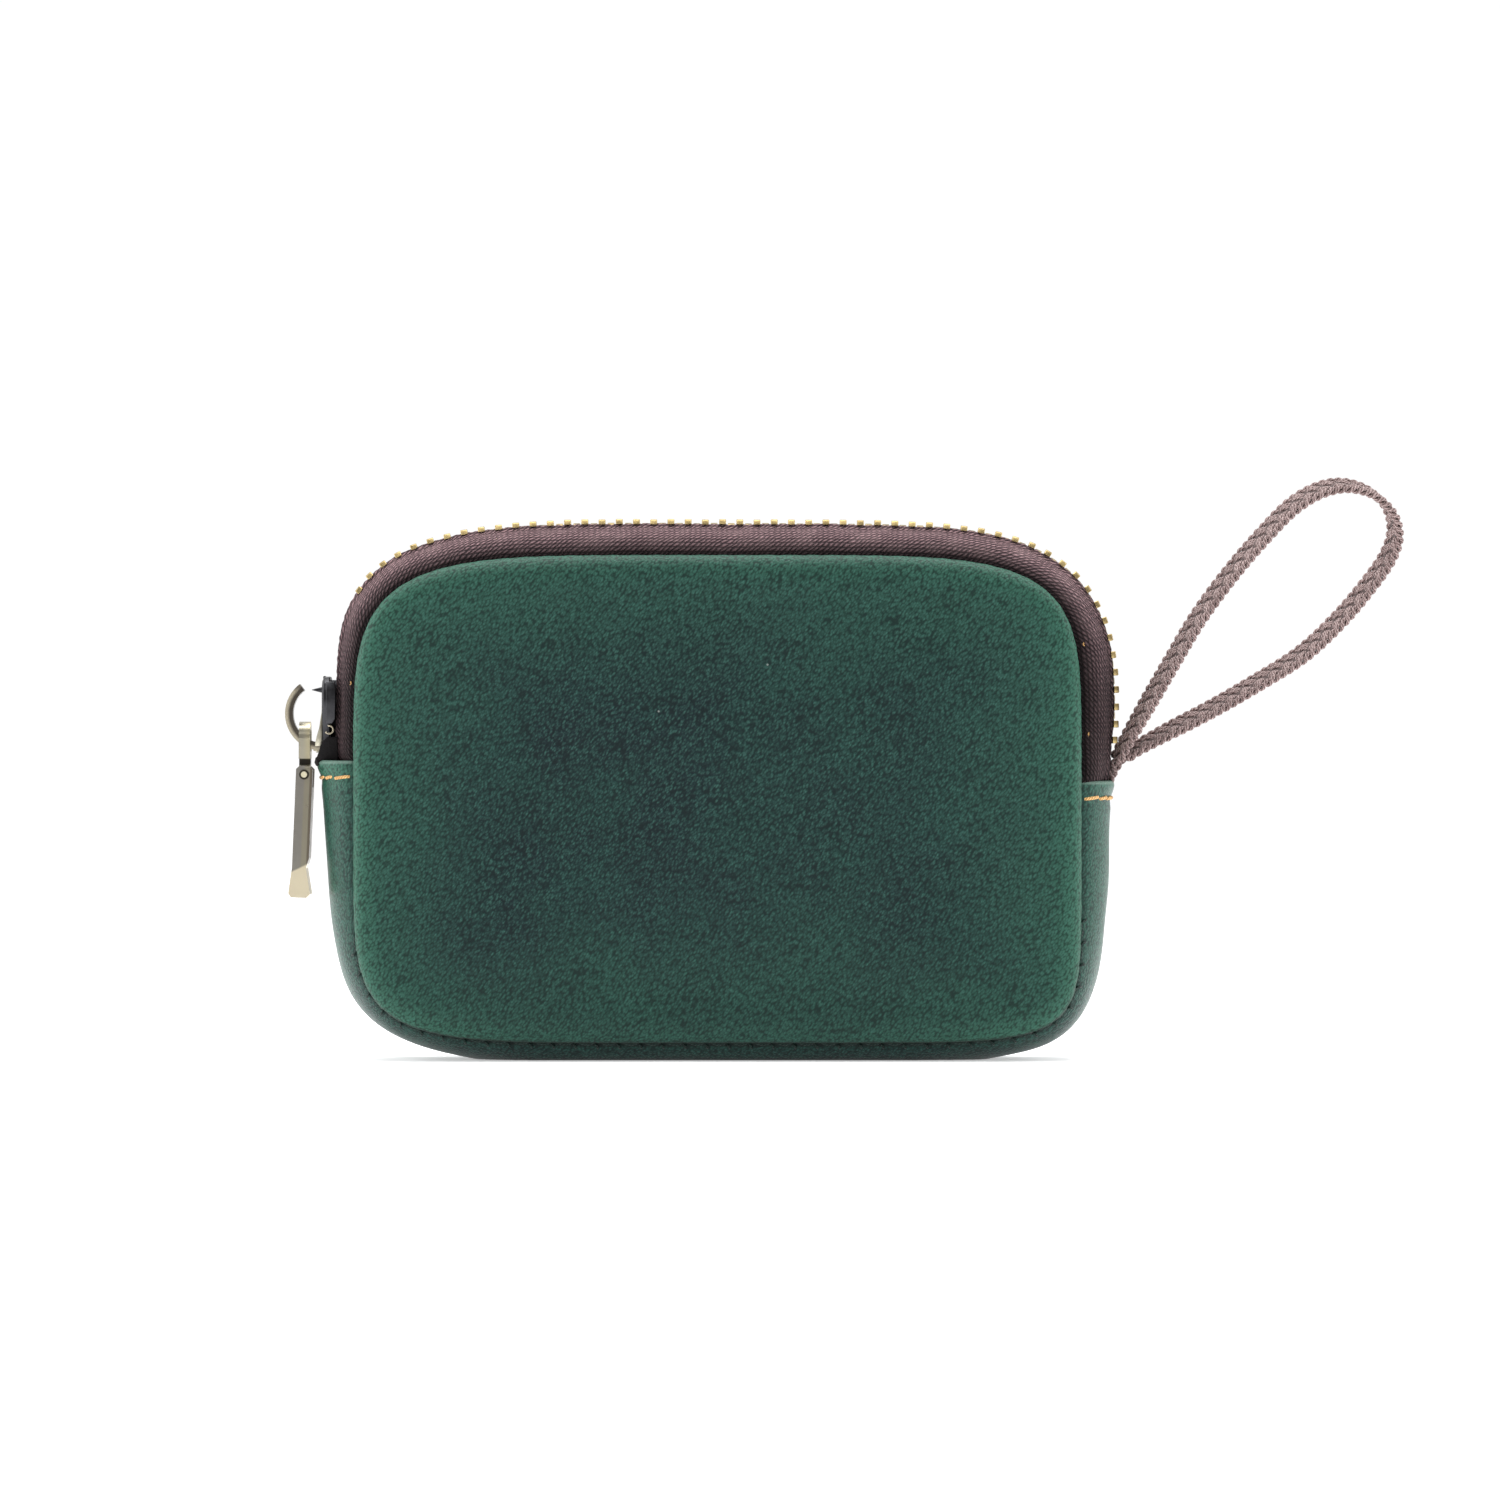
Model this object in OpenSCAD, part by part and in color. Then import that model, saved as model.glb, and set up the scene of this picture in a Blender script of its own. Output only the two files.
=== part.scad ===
// Small leather wristlet pouch with a zip round the top, in millimetres.
// X runs along the pouch towards the strap, -Y is the front, Z is up, and z = 0 is the resting face.

/* [Body] */
// Width of a leather panel
panel_w = 109.8; // [100:0.2:120]
// Height of a leather panel
panel_h = 73.8; // [66:0.2:80]
// Height of the panel's middle above the resting face
panel_z = 39.3; // [36:0.1:42]
// Distance of each panel seam from the middle plane
seam_y = 9.5; // [8:0.1:12]
// How far a panel stands out of its seam
crown = 3.3; // [2:0.1:4]
// Thickness of the leather
leather_t = 1.4; // [1:0.1:1.6]
// Thickness of the lining
lining_t = 0.5; // [0.3:0.1:0.6]
// Depth of the groove along the seams
groove = 0.6; // [0.3:0.1:0.8]

/* [Zip] */
// Thickness of the zip tape
tape_t = 0.8; // [0.6:0.1:1]
// Distance from one tooth to the next in a row
tooth_pitch = 2.6; // [2.4:0.1:3]
// Length of a tooth along the row
tooth_l = 1.3; // [1:0.1:1.4]
// Height of a tooth through the tape
tooth_h = 2.7; // [2.6:0.1:2.8]
// Reach of a tooth across the tape
tooth_w = 3; // [2.6:0.1:3.4]
// Length of the slider
slider_l = 11.6; // [10:0.1:12]
// Width of the slider at its shoulder
slider_w = 9.4; // [9:0.1:10]

/* [Pull] */
// Radius of the crown's middle line
crown_r = 5; // [4.8:0.1:5.2]
// Thickness of the crown's bar
crown_t = 1.2; // [1:0.1:1.3]
// Length of the pull tab
tab_l = 19.9; // [16:0.1:22]
// Width of the pull tab across the pouch
tab_w = 6; // [5:0.1:7]
// Thickness of the pull tab
tab_t = 2.5; // [2.2:0.1:2.6]

/* [Strap] */
// Width of the strap's webbing
strap_w = 5; // [4:0.1:5]
// Thickness of the strap's webbing
strap_t = 1.5; // [1.2:0.1:1.6]

/* [Hidden] */
eps = 0.01;
// Middle of the outline
cx = 0.4;
// Corner fullness, from the right end of the top round to the right end of the base
full = [5.4, 5, 6, 8];
// Reach of the zip tape past the seam outline, by angle about the middle
tape_reach = [
    [-4, 3.4], [3, 3.6], [8, 4.2], [14, 4.7], [22, 4.7], [32, 4], [60, 4.1],
    [120, 4.2], [146, 3.8], [155, 3.2], [162, 2.4], [171, 2.2], [184, 2.2]
];
// Reach of the gusset past the seam outline, by angle about the middle
gusset_reach = [
    [173, 5.6], [176, 5.2], [182, 4.6], [191, 4.3], [200, 3.4], [212, 2.4], [221, 2.6], [232, 3.8],
    [308, 3.8], [319, 2.7], [328, 2.6], [339, 3.4], [346, 4.2], [358, 4.6], [363, 4.9]
];
// Angles at which the gusset and the tape start and end
gusset_from = 174.6;
gusset_to = 362.2;
tape_top = [10, 152];
// Heights between which the straight ends of the tape run, and their reach
left_end = [39.5, 61.4, 2.2];
right_end = [39, 47.2, 3.6];
// Reach of the gusset by the tape ends, and how far below its surface they lie
hem_reach = 4.6;
under_hem = 1.6;
chain_from = 11.6;
chain_to = 172.6;
// Fold line across the panels, from its left end to its right end
fold_a = [-57, 66.5];
fold_b = [58, 48];
// Angles where the fold meets the seams, for the lower pieces and for each face of the upper ones
lower_fold = [153.6, 369.3];
upper_fold_out = [11.9, 151];
upper_fold_in = [11, 151.9];
lower_middle = [0.4, 32];
upper_middle = [0, 67];
// Height of a panel's edge at its seam
rim = 0.3;
// Gap between the leather and the lining, and from the seam to the lining's edge
lining_gap = 0.3;
lining_inset = 3.4;
// Half width of the tape and the gusset between the seams
band_y = seam_y - 0.2;
// Gap from the middle plane to the teeth, closed on top and open beside the slider
row_gap = [[0, 0.2], [140, 0.2], [156, 1.1], [185, 1.1]];
// Slider, crown and pull
slider_z = 46.2;
slider_x = -59.3;
plate_t = 1.2;
slider_h = 6.3;
crown_c = [-59.4, 52.2];
crown_y = 2.4;
rivet_c = [-62, 43];
link_t = 1.7;
tab_lean = 2.4;
// Strap: corners of its route, seen from the front, and the lean of its loop
strap_route = [
    [60.7, 45.2], [62.2, 48], [65, 53], [69, 60], [73, 66.8], [78, 73.6], [83, 79.4], [87, 83.4],
    [91, 85.8], [95, 86.6], [99, 85.6], [102, 83], [103, 79.6], [102, 76], [99, 71.6],
    [94.6, 66.4], [89, 61.2], [82, 56.8], [75, 52.8], [68, 49.2], [63.6, 46.8], [62, 45.6]
];
strap_pin = [60.1, 43.9];
loop_rise = 41.8;
loop_lean = 25;

// Sub-part to draw, or all of them

// ---- outline ----

function fullness(t) = full[floor(((t % 360) + 360) % 360 / 90)];
function reach_at(t) =
    let (n = fullness(t))
    pow(pow(abs(cos(t)) / (panel_w / 2), n) + pow(abs(sin(t)) / (panel_h / 2), n), -1 / n);
function seam(t) = [cx + reach_at(t) * cos(t), panel_z + reach_at(t) * sin(t)];
function unit(v) = v / norm(v);
function across(t) =
    let (d = seam(t + 0.2) - seam(t - 0.2))
    unit([d[1], -d[0]]);
function span_to(a, b) = [
    for (t = a, s = 0; t <= b + eps; s = s + norm(seam(t + 0.5) - seam(t)), t = t + 0.5) [s, t]
];
// Angles at equal steps of length from angle a to angle b
function steps(a, b, n) =
    let (table = span_to(a, b), all = table[len(table) - 1][0])
    [for (i = [0:n]) lookup(all * i / n, table)];
function outward(t, d) = seam(t) + across(t) * d;
function place(p, y) = [p[0], y, p[1]];

// ---- solids from rings ----

// Closed solid through rings of points, capped at both ends
module swept(rings) {
    n = len(rings[0]);
    m = len(rings);
    points = [for (ring = rings) each ring];
    sides = [
        for (j = [0:m - 2]) for (i = [0:n - 1]) each [
            [j * n + i, j * n + (i + 1) % n, (j + 1) * n + i],
            [j * n + (i + 1) % n, (j + 1) * n + (i + 1) % n, (j + 1) * n + i]
        ]
    ];
    first = [for (i = [0:n - 1]) n - 1 - i];
    last = [for (i = [0:n - 1]) (m - 1) * n + i];
    polyhedron(points, concat([first], sides, [last]), convexity = 8);
}

// Section of a band bulging between the seams: outer surface one way, inner surface back
function band_bulge(reach, y) = (reach + groove) * (1 - pow(abs(y) / band_y, 2.3)) - groove;
function band_ring(t, reach, inset, thick, ya, yb, n) = [
    for (i = [0:n])
        let (y = ya + (yb - ya) * i / n)
        resting(outward(t, band_bulge(reach, y) - inset), y, inset),
    for (i = [n:-1:0])
        let (y = ya + (yb - ya) * i / n)
        resting(outward(t, band_bulge(reach, y) - inset - thick), y, inset + thick)
];
// The base is pressed flat where it rests
function resting(p, y, up) = [p[0], y, max(p[1], up)];

module gusset_shell(from, to, inset, thick, half_y, n) {
    angles = steps(from, to, n);
    swept([for (t = angles) band_ring(t, lookup(t, gusset_reach), inset, thick, half_y, -half_y, 12)]);
}

// Straight end of a tape on one side of the pouch
module tape_end(side, run) {
    edge_y = row_gap[3][1] + 1.05;
    ys = [for (i = [0:12]) -band_y + (band_y - edge_y) * i / 12];
    // It tucks under the hem of the gusset
    face = [
        for (y = ys)
            let (rise = min(band_bulge(run[2], y), band_bulge(hem_reach, y) - under_hem))
            [cx + side * (panel_w / 2 + rise), y]
    ];
    back = [for (i = [len(ys) - 1:-1:0]) face[i] - [side * tape_t, 0]];
    translate([0, 0, run[0]])
        linear_extrude(run[1] - run[0])
            polygon(concat(face, back));
}

module tape_shell(ends, n) {
    angles = steps(ends[0], ends[1], n);
    swept([
        for (t = angles)
            band_ring(t, lookup(t, tape_reach), 0, tape_t, -(lookup(t, row_gap) + 1.05), -band_y, 6)
    ]);
}

// ---- panels ----

// Distance from the middle to the edge line, square to the edge
function depth_at(t) = (seam(t) - [cx, panel_z]) * across(t);
function dome(e, h) =
    0.72 * sqrt(1 - pow(1 - min(1, e / 3.5), 2)) + 0.28 * (1 - pow(1 - e / h, 2));
// Share of the crown that the leather has reached above point p of the seam plane
function dome_at(p) =
    let (v = p - [cx, panel_z], t = atan2(v[1], v[0]), h = depth_at(t))
    dome(h * max(0, 1 - norm(v) / reach_at(t)), h);
function leather_outside(p) = -seam_y - rim - (crown - rim) * dome_at(p);
function leather_inside(p) = -seam_y - max(0, crown * dome_at(p) - leather_t);
function lining_outside(p) = leather_inside(p) + lining_gap;
function lining_inside(p) = leather_inside(p) + lining_gap + lining_t;

// Outline of a piece of a panel: round the seam between two angles and back along the fold
function piece_outline(from, to, inset) =
    let (a = outward(from, -inset), b = outward(to, -inset))
    concat(
        [for (t = steps(from, to, 52)) outward(t, -inset)],
        [for (i = [1:11]) b + (a - b) * i / 12]
    );
function towards(middle, outline, k) = [for (p = outline) middle + (p - middle) * k];
function lifted(points, side) = [for (p = points) place(p, side == 0 ? leather_outside(p)
    : side == 1 ? leather_inside(p) : side == 2 ? lining_outside(p) : lining_inside(p))];
// Closed sheet between two faces, each with its own angles at the fold
module sheet(middle, outer, inner, inset, face) {
    a = piece_outline(outer[0], outer[1], inset);
    b = piece_outline(inner[0], inner[1], inset);
    swept(concat(
        [for (k = rings) lifted(towards(middle, a, k), face)],
        [for (i = [len(rings) - 1:-1:0]) lifted(towards(middle, b, rings[i]), face + 1)]
    ));
}
rings = [0.3, 0.6, 0.85, 0.93, 0.97, 0.99, 1];

// ---- zip ----

function chain(t) = outward(t, lookup(t, tape_reach));
function chain_table() = [
    for (t = chain_from, s = 0; t <= chain_to; s = s + norm(chain(t + 0.5) - chain(t)), t = t + 0.5) [s, t]
];
function chain_length() = let (table = chain_table()) table[len(table) - 1][0];
function above_fold(p) =
    p[1] - (fold_a[1] + (p[0] - fold_a[0]) * (fold_b[1] - fold_a[1]) / (fold_b[0] - fold_a[0]));

// One tooth, clenched over the edge of the tape
module tooth() {
    rise = 0.75;
    // The slot is deep enough for the tape, which falls away from its edge
    slot = [0.1, -tape_t - 0.75];
    translate([0, 0, -tooth_l / 2])
        linear_extrude(tooth_l)
            polygon([
                [rise, 0], [rise, -tooth_w + 0.4], [rise - 0.4, -tooth_w], [slot[0], -tooth_w],
                [slot[0], -1], [slot[1], -1], [slot[1], -tooth_w],
                [rise - tooth_h, -tooth_w], [rise - tooth_h, 0]
            ]);
}

// Carries a child to angle t on the chain: its X points outward and its Z along the row
module on_chain(t) {
    p = chain(t);
    d = unit(chain(t + 0.4) - chain(t - 0.4));
    translate([p[0], -lookup(t, row_gap), p[1]])
        rotate([0, atan2(d[0], d[1]), 0])
            children();
}

module teeth_row(shift, upper) {
    table = chain_table();
    count = floor((chain_length() - shift) / tooth_pitch);
    for (i = [0:count]) {
        t = lookup(shift + i * tooth_pitch, table);
        if (upper ? above_fold(chain(t)) > 1.6 : above_fold(chain(t)) < -1.2)
            on_chain(t) tooth();
    }
}

// ---- sub-parts ----

module front_panel_lower() color("darkgreen") sheet(lower_middle, lower_fold, lower_fold, 0, 0);
module back_panel_lower() mirror([0, 1, 0]) front_panel_lower();
module front_panel_upper() color("darkgreen") sheet(upper_middle, upper_fold_out, upper_fold_in, 0, 0);
module back_panel_upper() mirror([0, 1, 0]) front_panel_upper();
module gusset_band() color("seagreen") gusset_shell(gusset_from, gusset_to, 0, 1.2, band_y, 60);
module gusset_lining() color("dimgray") gusset_shell(184, 354, 1.5, lining_t, 8, 60);
module front_lining_lower() color("dimgray") sheet(lower_middle, lower_fold, lower_fold, lining_inset, 2);
module back_lining_lower() mirror([0, 1, 0]) front_lining_lower();
module front_lining_upper() color("dimgray") sheet(upper_middle, upper_fold_in, upper_fold_in, lining_inset, 2);
module back_lining_upper() mirror([0, 1, 0]) front_lining_upper();
module front_tape() color("saddlebrown") tape_shell(tape_top, 52);
module back_tape() mirror([0, 1, 0]) front_tape();
module front_tape_ends() {
    color("saddlebrown") {
        tape_end(-1, left_end);
        tape_end(1, right_end);
    }
}
module back_tape_ends() mirror([0, 1, 0]) front_tape_ends();
module front_teeth() color("goldenrod") teeth_row(0, true);
module back_teeth() color("goldenrod") mirror([0, 1, 0]) teeth_row(tooth_pitch / 2, true);
module front_side_teeth() color("goldenrod") teeth_row(0, false);
module back_side_teeth() color("goldenrod") mirror([0, 1, 0]) teeth_row(tooth_pitch / 2, false);
module front_top_stop() color("goldenrod") on_chain(chain_from - 1.5) tooth();
module back_top_stop() color("goldenrod") mirror([0, 1, 0]) on_chain(chain_from - 1.5) tooth();

// Clamp across both rows under the slider
module bottom_stop() {
    color("goldenrod")
        translate([-57.6, -2.6, slider_z - 2.2])
            cube([0.8, 5.2, 1.4]);
}

module stitch_row(from, to, pitch, off, y) {
    table = span_to(from, to);
    count = floor(table[len(table) - 1][0] / pitch);
    for (i = [0:count]) {
        t = lookup(i * pitch, table);
        p = outward(t, off);
        d = unit(seam(t + 0.3) - seam(t - 0.3));
        translate([p[0], y, p[1]])
            rotate([0, atan2(d[0], d[1]), 0])
                cylinder(h = 2.2, r = 0.22, center = true, $fn = 16);
    }
}
module front_seam_thread() color("black") stitch_row(184, 356, 3.3, 0.1, -seam_y + 0.27);
module back_seam_thread() color("black") stitch_row(184, 356, 3.3, 0.1, seam_y - 0.27);

// Row of stitches across the gusset under its hem
module hem_row(t) {
    for (i = [-2:2]) {
        y = i * 3.3;
        reach = lookup(t, gusset_reach);
        p = outward(t, band_bulge(reach, y));
        slope = (band_bulge(reach, y + 0.1) - band_bulge(reach, y - 0.1)) / 0.2;
        // Each stitch lies flat on the curve of the gusset
        translate([p[0], y, p[1]])
            rotate([0, 0, atan2(across(t)[0] * -slope, 1)])
                translate([across(t)[0] * 0.38, 0, 0])
                    rotate([90, 0, 0])
                        cylinder(h = 2.4, r = 0.24, center = true, $fn = 16);
    }
}
module left_hem_thread() color("orange") hem_row(gusset_from + 2);
module right_hem_thread() color("orange") hem_row(gusset_to - 2);

// Outline of a slider plate, wide at the shoulder and narrow at the tail
module plate_outline() {
    polygon([
        [-3.4, 0], [3.4, 0], [3.4, 3.6], [slider_w / 2, 6.4], [slider_w / 2, slider_l - 2],
        [slider_w / 2 - 2, slider_l], [-slider_w / 2 + 2, slider_l], [-slider_w / 2, slider_l - 2],
        [-slider_w / 2, 6.4], [-3.4, 3.6]
    ]);
}
// Raises an outline drawn across the pouch to thickness t outward from x
module raised(x, t) {
    translate([x + t, 0, slider_z])
        rotate([90, 0, -90])
            linear_extrude(t)
                children();
}
module slider_body() {
    color("dimgray") {
        raised(slider_x, plate_t) plate_outline();
        raised(slider_x + slider_h - plate_t, plate_t) plate_outline();
        // Post between the two rows
        raised(slider_x, slider_h) translate([-0.7, 7.6]) square([1.4, 3.4]);
        // Side rails of the outer plate
        for (s = [-1, 1])
            raised(slider_x, plate_t + 0.25)
                translate([s * (slider_w / 2 - 0.3) - 0.3, 6.6])
                    square([0.6, 2.8]);
    }
}
// Open hook that carries the pull
module slider_crown() {
    color("darkkhaki")
        translate([0, crown_y / 2, 0])
            rotate([90, 0, 0])
                linear_extrude(crown_y) {
                    translate(crown_c)
                        intersection() {
                            difference() {
                                circle(r = crown_r + crown_t / 2, $fn = 96);
                                circle(r = crown_r - crown_t / 2, $fn = 96);
                            }
                            polygon([
                                [0, 0], 9 * [cos(127), sin(127)], [-12, 0],
                                9 * [cos(233), sin(233)], 9 * [cos(266), sin(266)]
                            ]);
                        }
                    translate([slider_x - 1.4, slider_z + 0.35]) square([1.4, 1.2]);
                }
}
module lock_pin() {
    color("black")
        translate([slider_x, 0, 55.8])
            rotate([0, -90, 0])
                cylinder(h = 1.7, r1 = 0.5, r2 = 0.05, $fn = 24);
}
// Eye that hangs on the crown, with a neck for the rivet
module pull_link() {
    color("darkkhaki")
        difference() {
            translate([rivet_c[0] - link_t / 2, 0, 0])
                rotate([90, 0, 90])
                    linear_extrude(link_t)
                        difference() {
                            union() {
                                translate([0, 48.5]) circle(r = 2.5, $fn = 48);
                                translate([-2.5, 45.4]) square([5, 3.1]);
                                translate([-1.2, 42]) square([2.4, 3.6]);
                            }
                            translate([-1.4, 46.5]) square([2.8, 3.2]);
                        }
            translate([rivet_c[0], 0, rivet_c[1]])
                rotate([90, 0, 0])
                    cylinder(h = 8, r = 0.5, center = true, $fn = 32);
        }
}
module pull_rivet() {
    color("goldenrod")
        translate([rivet_c[0], 0, rivet_c[1]])
            rotate([90, 0, 0]) {
                cylinder(h = tab_w + 0.5, r = 0.45, center = true, $fn = 32);
                for (s = [-1, 1])
                    translate([0, 0, s * (tab_w / 2 + 0.15)])
                        cylinder(h = 0.3, r = 0.7, center = true, $fn = 32);
            }
}
// Bar with a fork at the rivet and a flared, bevelled end
module pull_tab() {
    color("gray")
        translate([rivet_c[0], 0, rivet_c[1]])
            rotate([0, tab_lean, 0])
                difference() {
                    rotate([90, 0, 0])
                        linear_extrude(tab_w, center = true)
                            polygon([
                                [-tab_t / 2 + 0.5, 1.3], [tab_t / 2 - 0.5, 1.3], [tab_t / 2, 0.8],
                                [tab_t / 2, 1.3 - tab_l + 6], [tab_t / 2 - 0.4, 1.3 - tab_l + 4.5],
                                [tab_t / 2 + 0.4, 1.3 - tab_l + 0.6], [tab_t / 2 - 0.2, 1.3 - tab_l],
                                [-tab_t / 2, 1.3 - tab_l], [-tab_t / 2 - 0.4, 1.9 - tab_l],
                                [-tab_t / 2, 1.3 - tab_l + 4.5], [-tab_t / 2, 0.8]
                            ]);
                    translate([-2, -1.35, -1.9]) cube([4, 2.7, 4]);
                    rotate([90, 0, 0])
                        cylinder(h = 8, r = 0.46, center = true, $fn = 32);
                }
}

// ---- strap ----

loop_n0 = [-sin(loop_rise), cos(loop_rise)];
function lean_y(p) = -tan(loop_lean) * ((p - strap_pin) * loop_n0);
strap_side = [-sin(loop_rise) * sin(loop_lean), cos(loop_lean), cos(loop_rise) * sin(loop_lean)];
strap_points = [for (p = strap_route) [p[0], lean_y(p), p[1]]];
function curve(a, b, c, d, u) =
    0.5 * (2 * b + (c - a) * u + (2 * a - 5 * b + 4 * c - d) * u * u + (3 * b - a - 3 * c + d) * u * u * u);
function route(points, cuts) =
    let (last = len(points) - 1)
    [
        for (i = [0:last - 1]) for (j = [0:cuts - 1])
            curve(points[max(i - 1, 0)], points[i], points[i + 1], points[min(i + 2, last)], j / cuts),
        points[last]
    ];
function flat_ring(p, along, side, w, t) =
    let (up = unit(cross(along, side)))
    [
        for (q = [[-1, -0.5], [-1, 0.5], [-0.8, 1], [0.8, 1], [1, 0.5], [1, -0.5], [0.8, -1], [-0.8, -1]])
            p + side * q[0] * w / 2 + up * q[1] * t / 2
    ];
module wrist_strap() {
    path = route(strap_points, 2);
    last = len(path) - 1;
    color("rosybrown")
        swept([
            for (i = [0:last])
                flat_ring(path[i], unit(path[min(i + 1, last)] - path[max(i - 1, 0)]), strap_side, strap_w, strap_t)
        ]);
}
// Folded ends of the webbing where they are sewn in
module strap_anchor() {
    color("rosybrown")
        translate([59.5, -2.4, 41.9])
            cube([1.2, 4.8, 1.7]);
}

front_panel_lower();
back_panel_lower();
front_panel_upper();
back_panel_upper();
gusset_band();
gusset_lining();
front_lining_lower();
back_lining_lower();
front_lining_upper();
back_lining_upper();
front_tape();
back_tape();
front_tape_ends();
back_tape_ends();
front_teeth();
back_teeth();
front_side_teeth();
back_side_teeth();
front_top_stop();
back_top_stop();
bottom_stop();
front_seam_thread();
back_seam_thread();
left_hem_thread();
right_hem_thread();
slider_body();
slider_crown();
lock_pin();
pull_link();
pull_rivet();
pull_tab();
strap_anchor();
wrist_strap();
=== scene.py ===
"""Zippered leather pouch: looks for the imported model, in the model's own frame.

Shapes are worked out in millimetres and turned into metres when a mesh is made.
Shader positions and sizes are in metres, except the UVs, which are in millimetres.
"""

import math
import bpy
import bmesh
import numpy as np
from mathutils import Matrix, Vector


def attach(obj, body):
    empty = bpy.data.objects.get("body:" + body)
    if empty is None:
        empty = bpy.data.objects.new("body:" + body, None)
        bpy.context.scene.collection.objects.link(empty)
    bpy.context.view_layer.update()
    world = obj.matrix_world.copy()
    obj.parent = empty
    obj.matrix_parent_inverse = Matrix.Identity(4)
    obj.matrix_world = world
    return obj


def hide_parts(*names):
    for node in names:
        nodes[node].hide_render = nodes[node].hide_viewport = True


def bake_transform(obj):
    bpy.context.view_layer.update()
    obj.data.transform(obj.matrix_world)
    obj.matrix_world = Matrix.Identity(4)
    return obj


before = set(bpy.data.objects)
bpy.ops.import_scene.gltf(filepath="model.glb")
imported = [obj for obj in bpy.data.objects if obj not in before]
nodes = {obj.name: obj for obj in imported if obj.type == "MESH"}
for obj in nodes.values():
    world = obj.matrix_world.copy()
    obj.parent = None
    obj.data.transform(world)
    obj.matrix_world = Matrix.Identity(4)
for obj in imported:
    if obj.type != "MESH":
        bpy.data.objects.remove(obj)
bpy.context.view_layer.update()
scene = bpy.context.scene

MM = 0.001
TAU = 2 * math.pi


def add_object(name, data):
    obj = bpy.data.objects.new(name, data)
    scene.collection.objects.link(obj)
    return obj


# -------------------- camera

VIEW_X, VIEW_Z, VIEW_DISTANCE = 5.3 * MM, 46.7 * MM, 1.135

cam = add_object("camera", bpy.data.cameras.new("camera"))
cam.data.lens = 180
cam.data.sensor_width = 36
cam.location = (VIEW_X, -VIEW_DISTANCE, VIEW_Z)
cam.rotation_euler = (math.radians(90), 0, 0)
cam.data.clip_start = 0.01
scene.camera = cam

# -------------------- outline, as in the CAD

CX, CZ = 0.4, 39.3  # middle of the panels
MIDDLE = np.array([CX, CZ])
HALF_W, HALF_H = 54.9, 36.9  # seam outline
FULL = [5.4, 5.0, 6.0, 8.0]  # how square each quarter of the outline is
SEAM_Y, CROWN = 9.5, 3.3  # seam to the middle plane, and the panel's rise over the seam
BAND_Y = SEAM_Y - 0.2
GROOVE = 0.6  # depth of the seam
PANEL_THICK, BAND_THICK, TAPE_THICK, CLOTH_THICK = 1.4, 1.2, 0.8, 0.45
STITCH_PITCH, TOOTH_PITCH = 3.3, 2.6
# Where each band runs, in degrees round the outline
GUSSET_SPAN, GUSSET_LINING_SPAN = (174.6, 362.2), (184, 354)
TAPE_SPAN, STITCH_SPAN, CHAIN_SPAN = (-1.5, 181), (200, 344), (11.6, 172.6)
TAPE_FALL = 0.55  # how squarely the tape rounds over, as in bulge()


def seam(t):
    """Points (x, z) of the seam outline at angles t, in radians, seen from the middle."""
    n = np.array(FULL)[(np.floor(np.mod(t, TAU) / (TAU / 4)).astype(int)) % 4]
    r = (np.abs(np.cos(t) / HALF_W) ** n + np.abs(np.sin(t) / HALF_H) ** n) ** (-1 / n)
    return np.stack([CX + r * np.cos(t), CZ + r * np.sin(t)], -1)


def unit(v):
    return v / np.linalg.norm(v, axis=-1, keepdims=True)


def along(t):
    """Direction of the seam outline."""
    return unit(seam(t + 0.004) - seam(t - 0.004))


def across(t):
    """Direction square to the seam outline, away from the middle."""
    d = along(t)
    return np.stack([d[..., 1], -d[..., 0]], -1)


def stand_off(t, d):
    """Points at distances d (m, n) past the seam outline at angles t (m)."""
    return seam(t)[:, None] + across(t)[:, None] * d[..., None]


def smooth_lookup(deg, table):
    """Table of (angle, value) read as one smooth curve."""
    a = np.array(table, float)
    fine = np.linspace(a[0, 0] - 8, a[-1, 0] + 8, 2400)
    v = np.interp(fine, a[:, 0], a[:, 1])
    k = np.hanning(int(9 / (fine[1] - fine[0])) | 1)
    v = np.convolve(np.pad(v, len(k) // 2, mode="edge"), k / k.sum(), "valid")
    return np.interp(deg, fine, v)


def run_length(p):
    """Length along the points p up to each of them."""
    return np.concatenate([[0], np.cumsum(np.linalg.norm(np.diff(p, axis=0), axis=1))])


# (angle in degrees, how far the middle of the band stands past the seam outline)
TAPE_REACH = [
    (-4, 3.4), (3, 3.6), (8, 4.2), (14, 4.7), (22, 4.7), (32, 4.0), (60, 4.1),
    (120, 4.2), (146, 3.8), (155, 3.2), (162, 2.4), (171, 2.2), (184, 2.2),
]
GUSSET_REACH = [
    (173, 5.6), (176, 5.2), (182, 4.6), (191, 4.3), (200, 3.4), (212, 2.4), (221, 2.6),
    (232, 3.8), (308, 3.8), (319, 2.7), (328, 2.6), (339, 3.4), (346, 4.2), (358, 4.6), (363, 4.9),
]
# (angle in degrees, distance from the middle plane to a row of teeth)
ROW_GAP = [(0, 0.2), (140, 0.2), (156, 1.1), (185, 1.1)]


def even(a, b, n):
    """n + 1 angles in radians from a to b degrees, at equal steps along the seam; its length."""
    t = np.radians(np.linspace(a, b, 1600))
    s = run_length(seam(t))
    return np.interp(np.linspace(0, s[-1], n + 1), s, t), s[-1]


def bulge(reach, y, fall=0.7):
    """How far a band stands past the seam outline at y: steep at the seam, then rounding over."""
    return (reach + GROOVE) * np.clip(1 - (np.abs(y) / BAND_Y) ** 2.3, 0, 1) ** fall - GROOVE


def ripple(x, seed, *waves):
    """Slow, repeatable waviness: each wave is (length, height)."""
    return sum(h * np.sin(TAU * x / l + seed * 1.7 + i * 2.3) for i, (l, h) in enumerate(waves))


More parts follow.
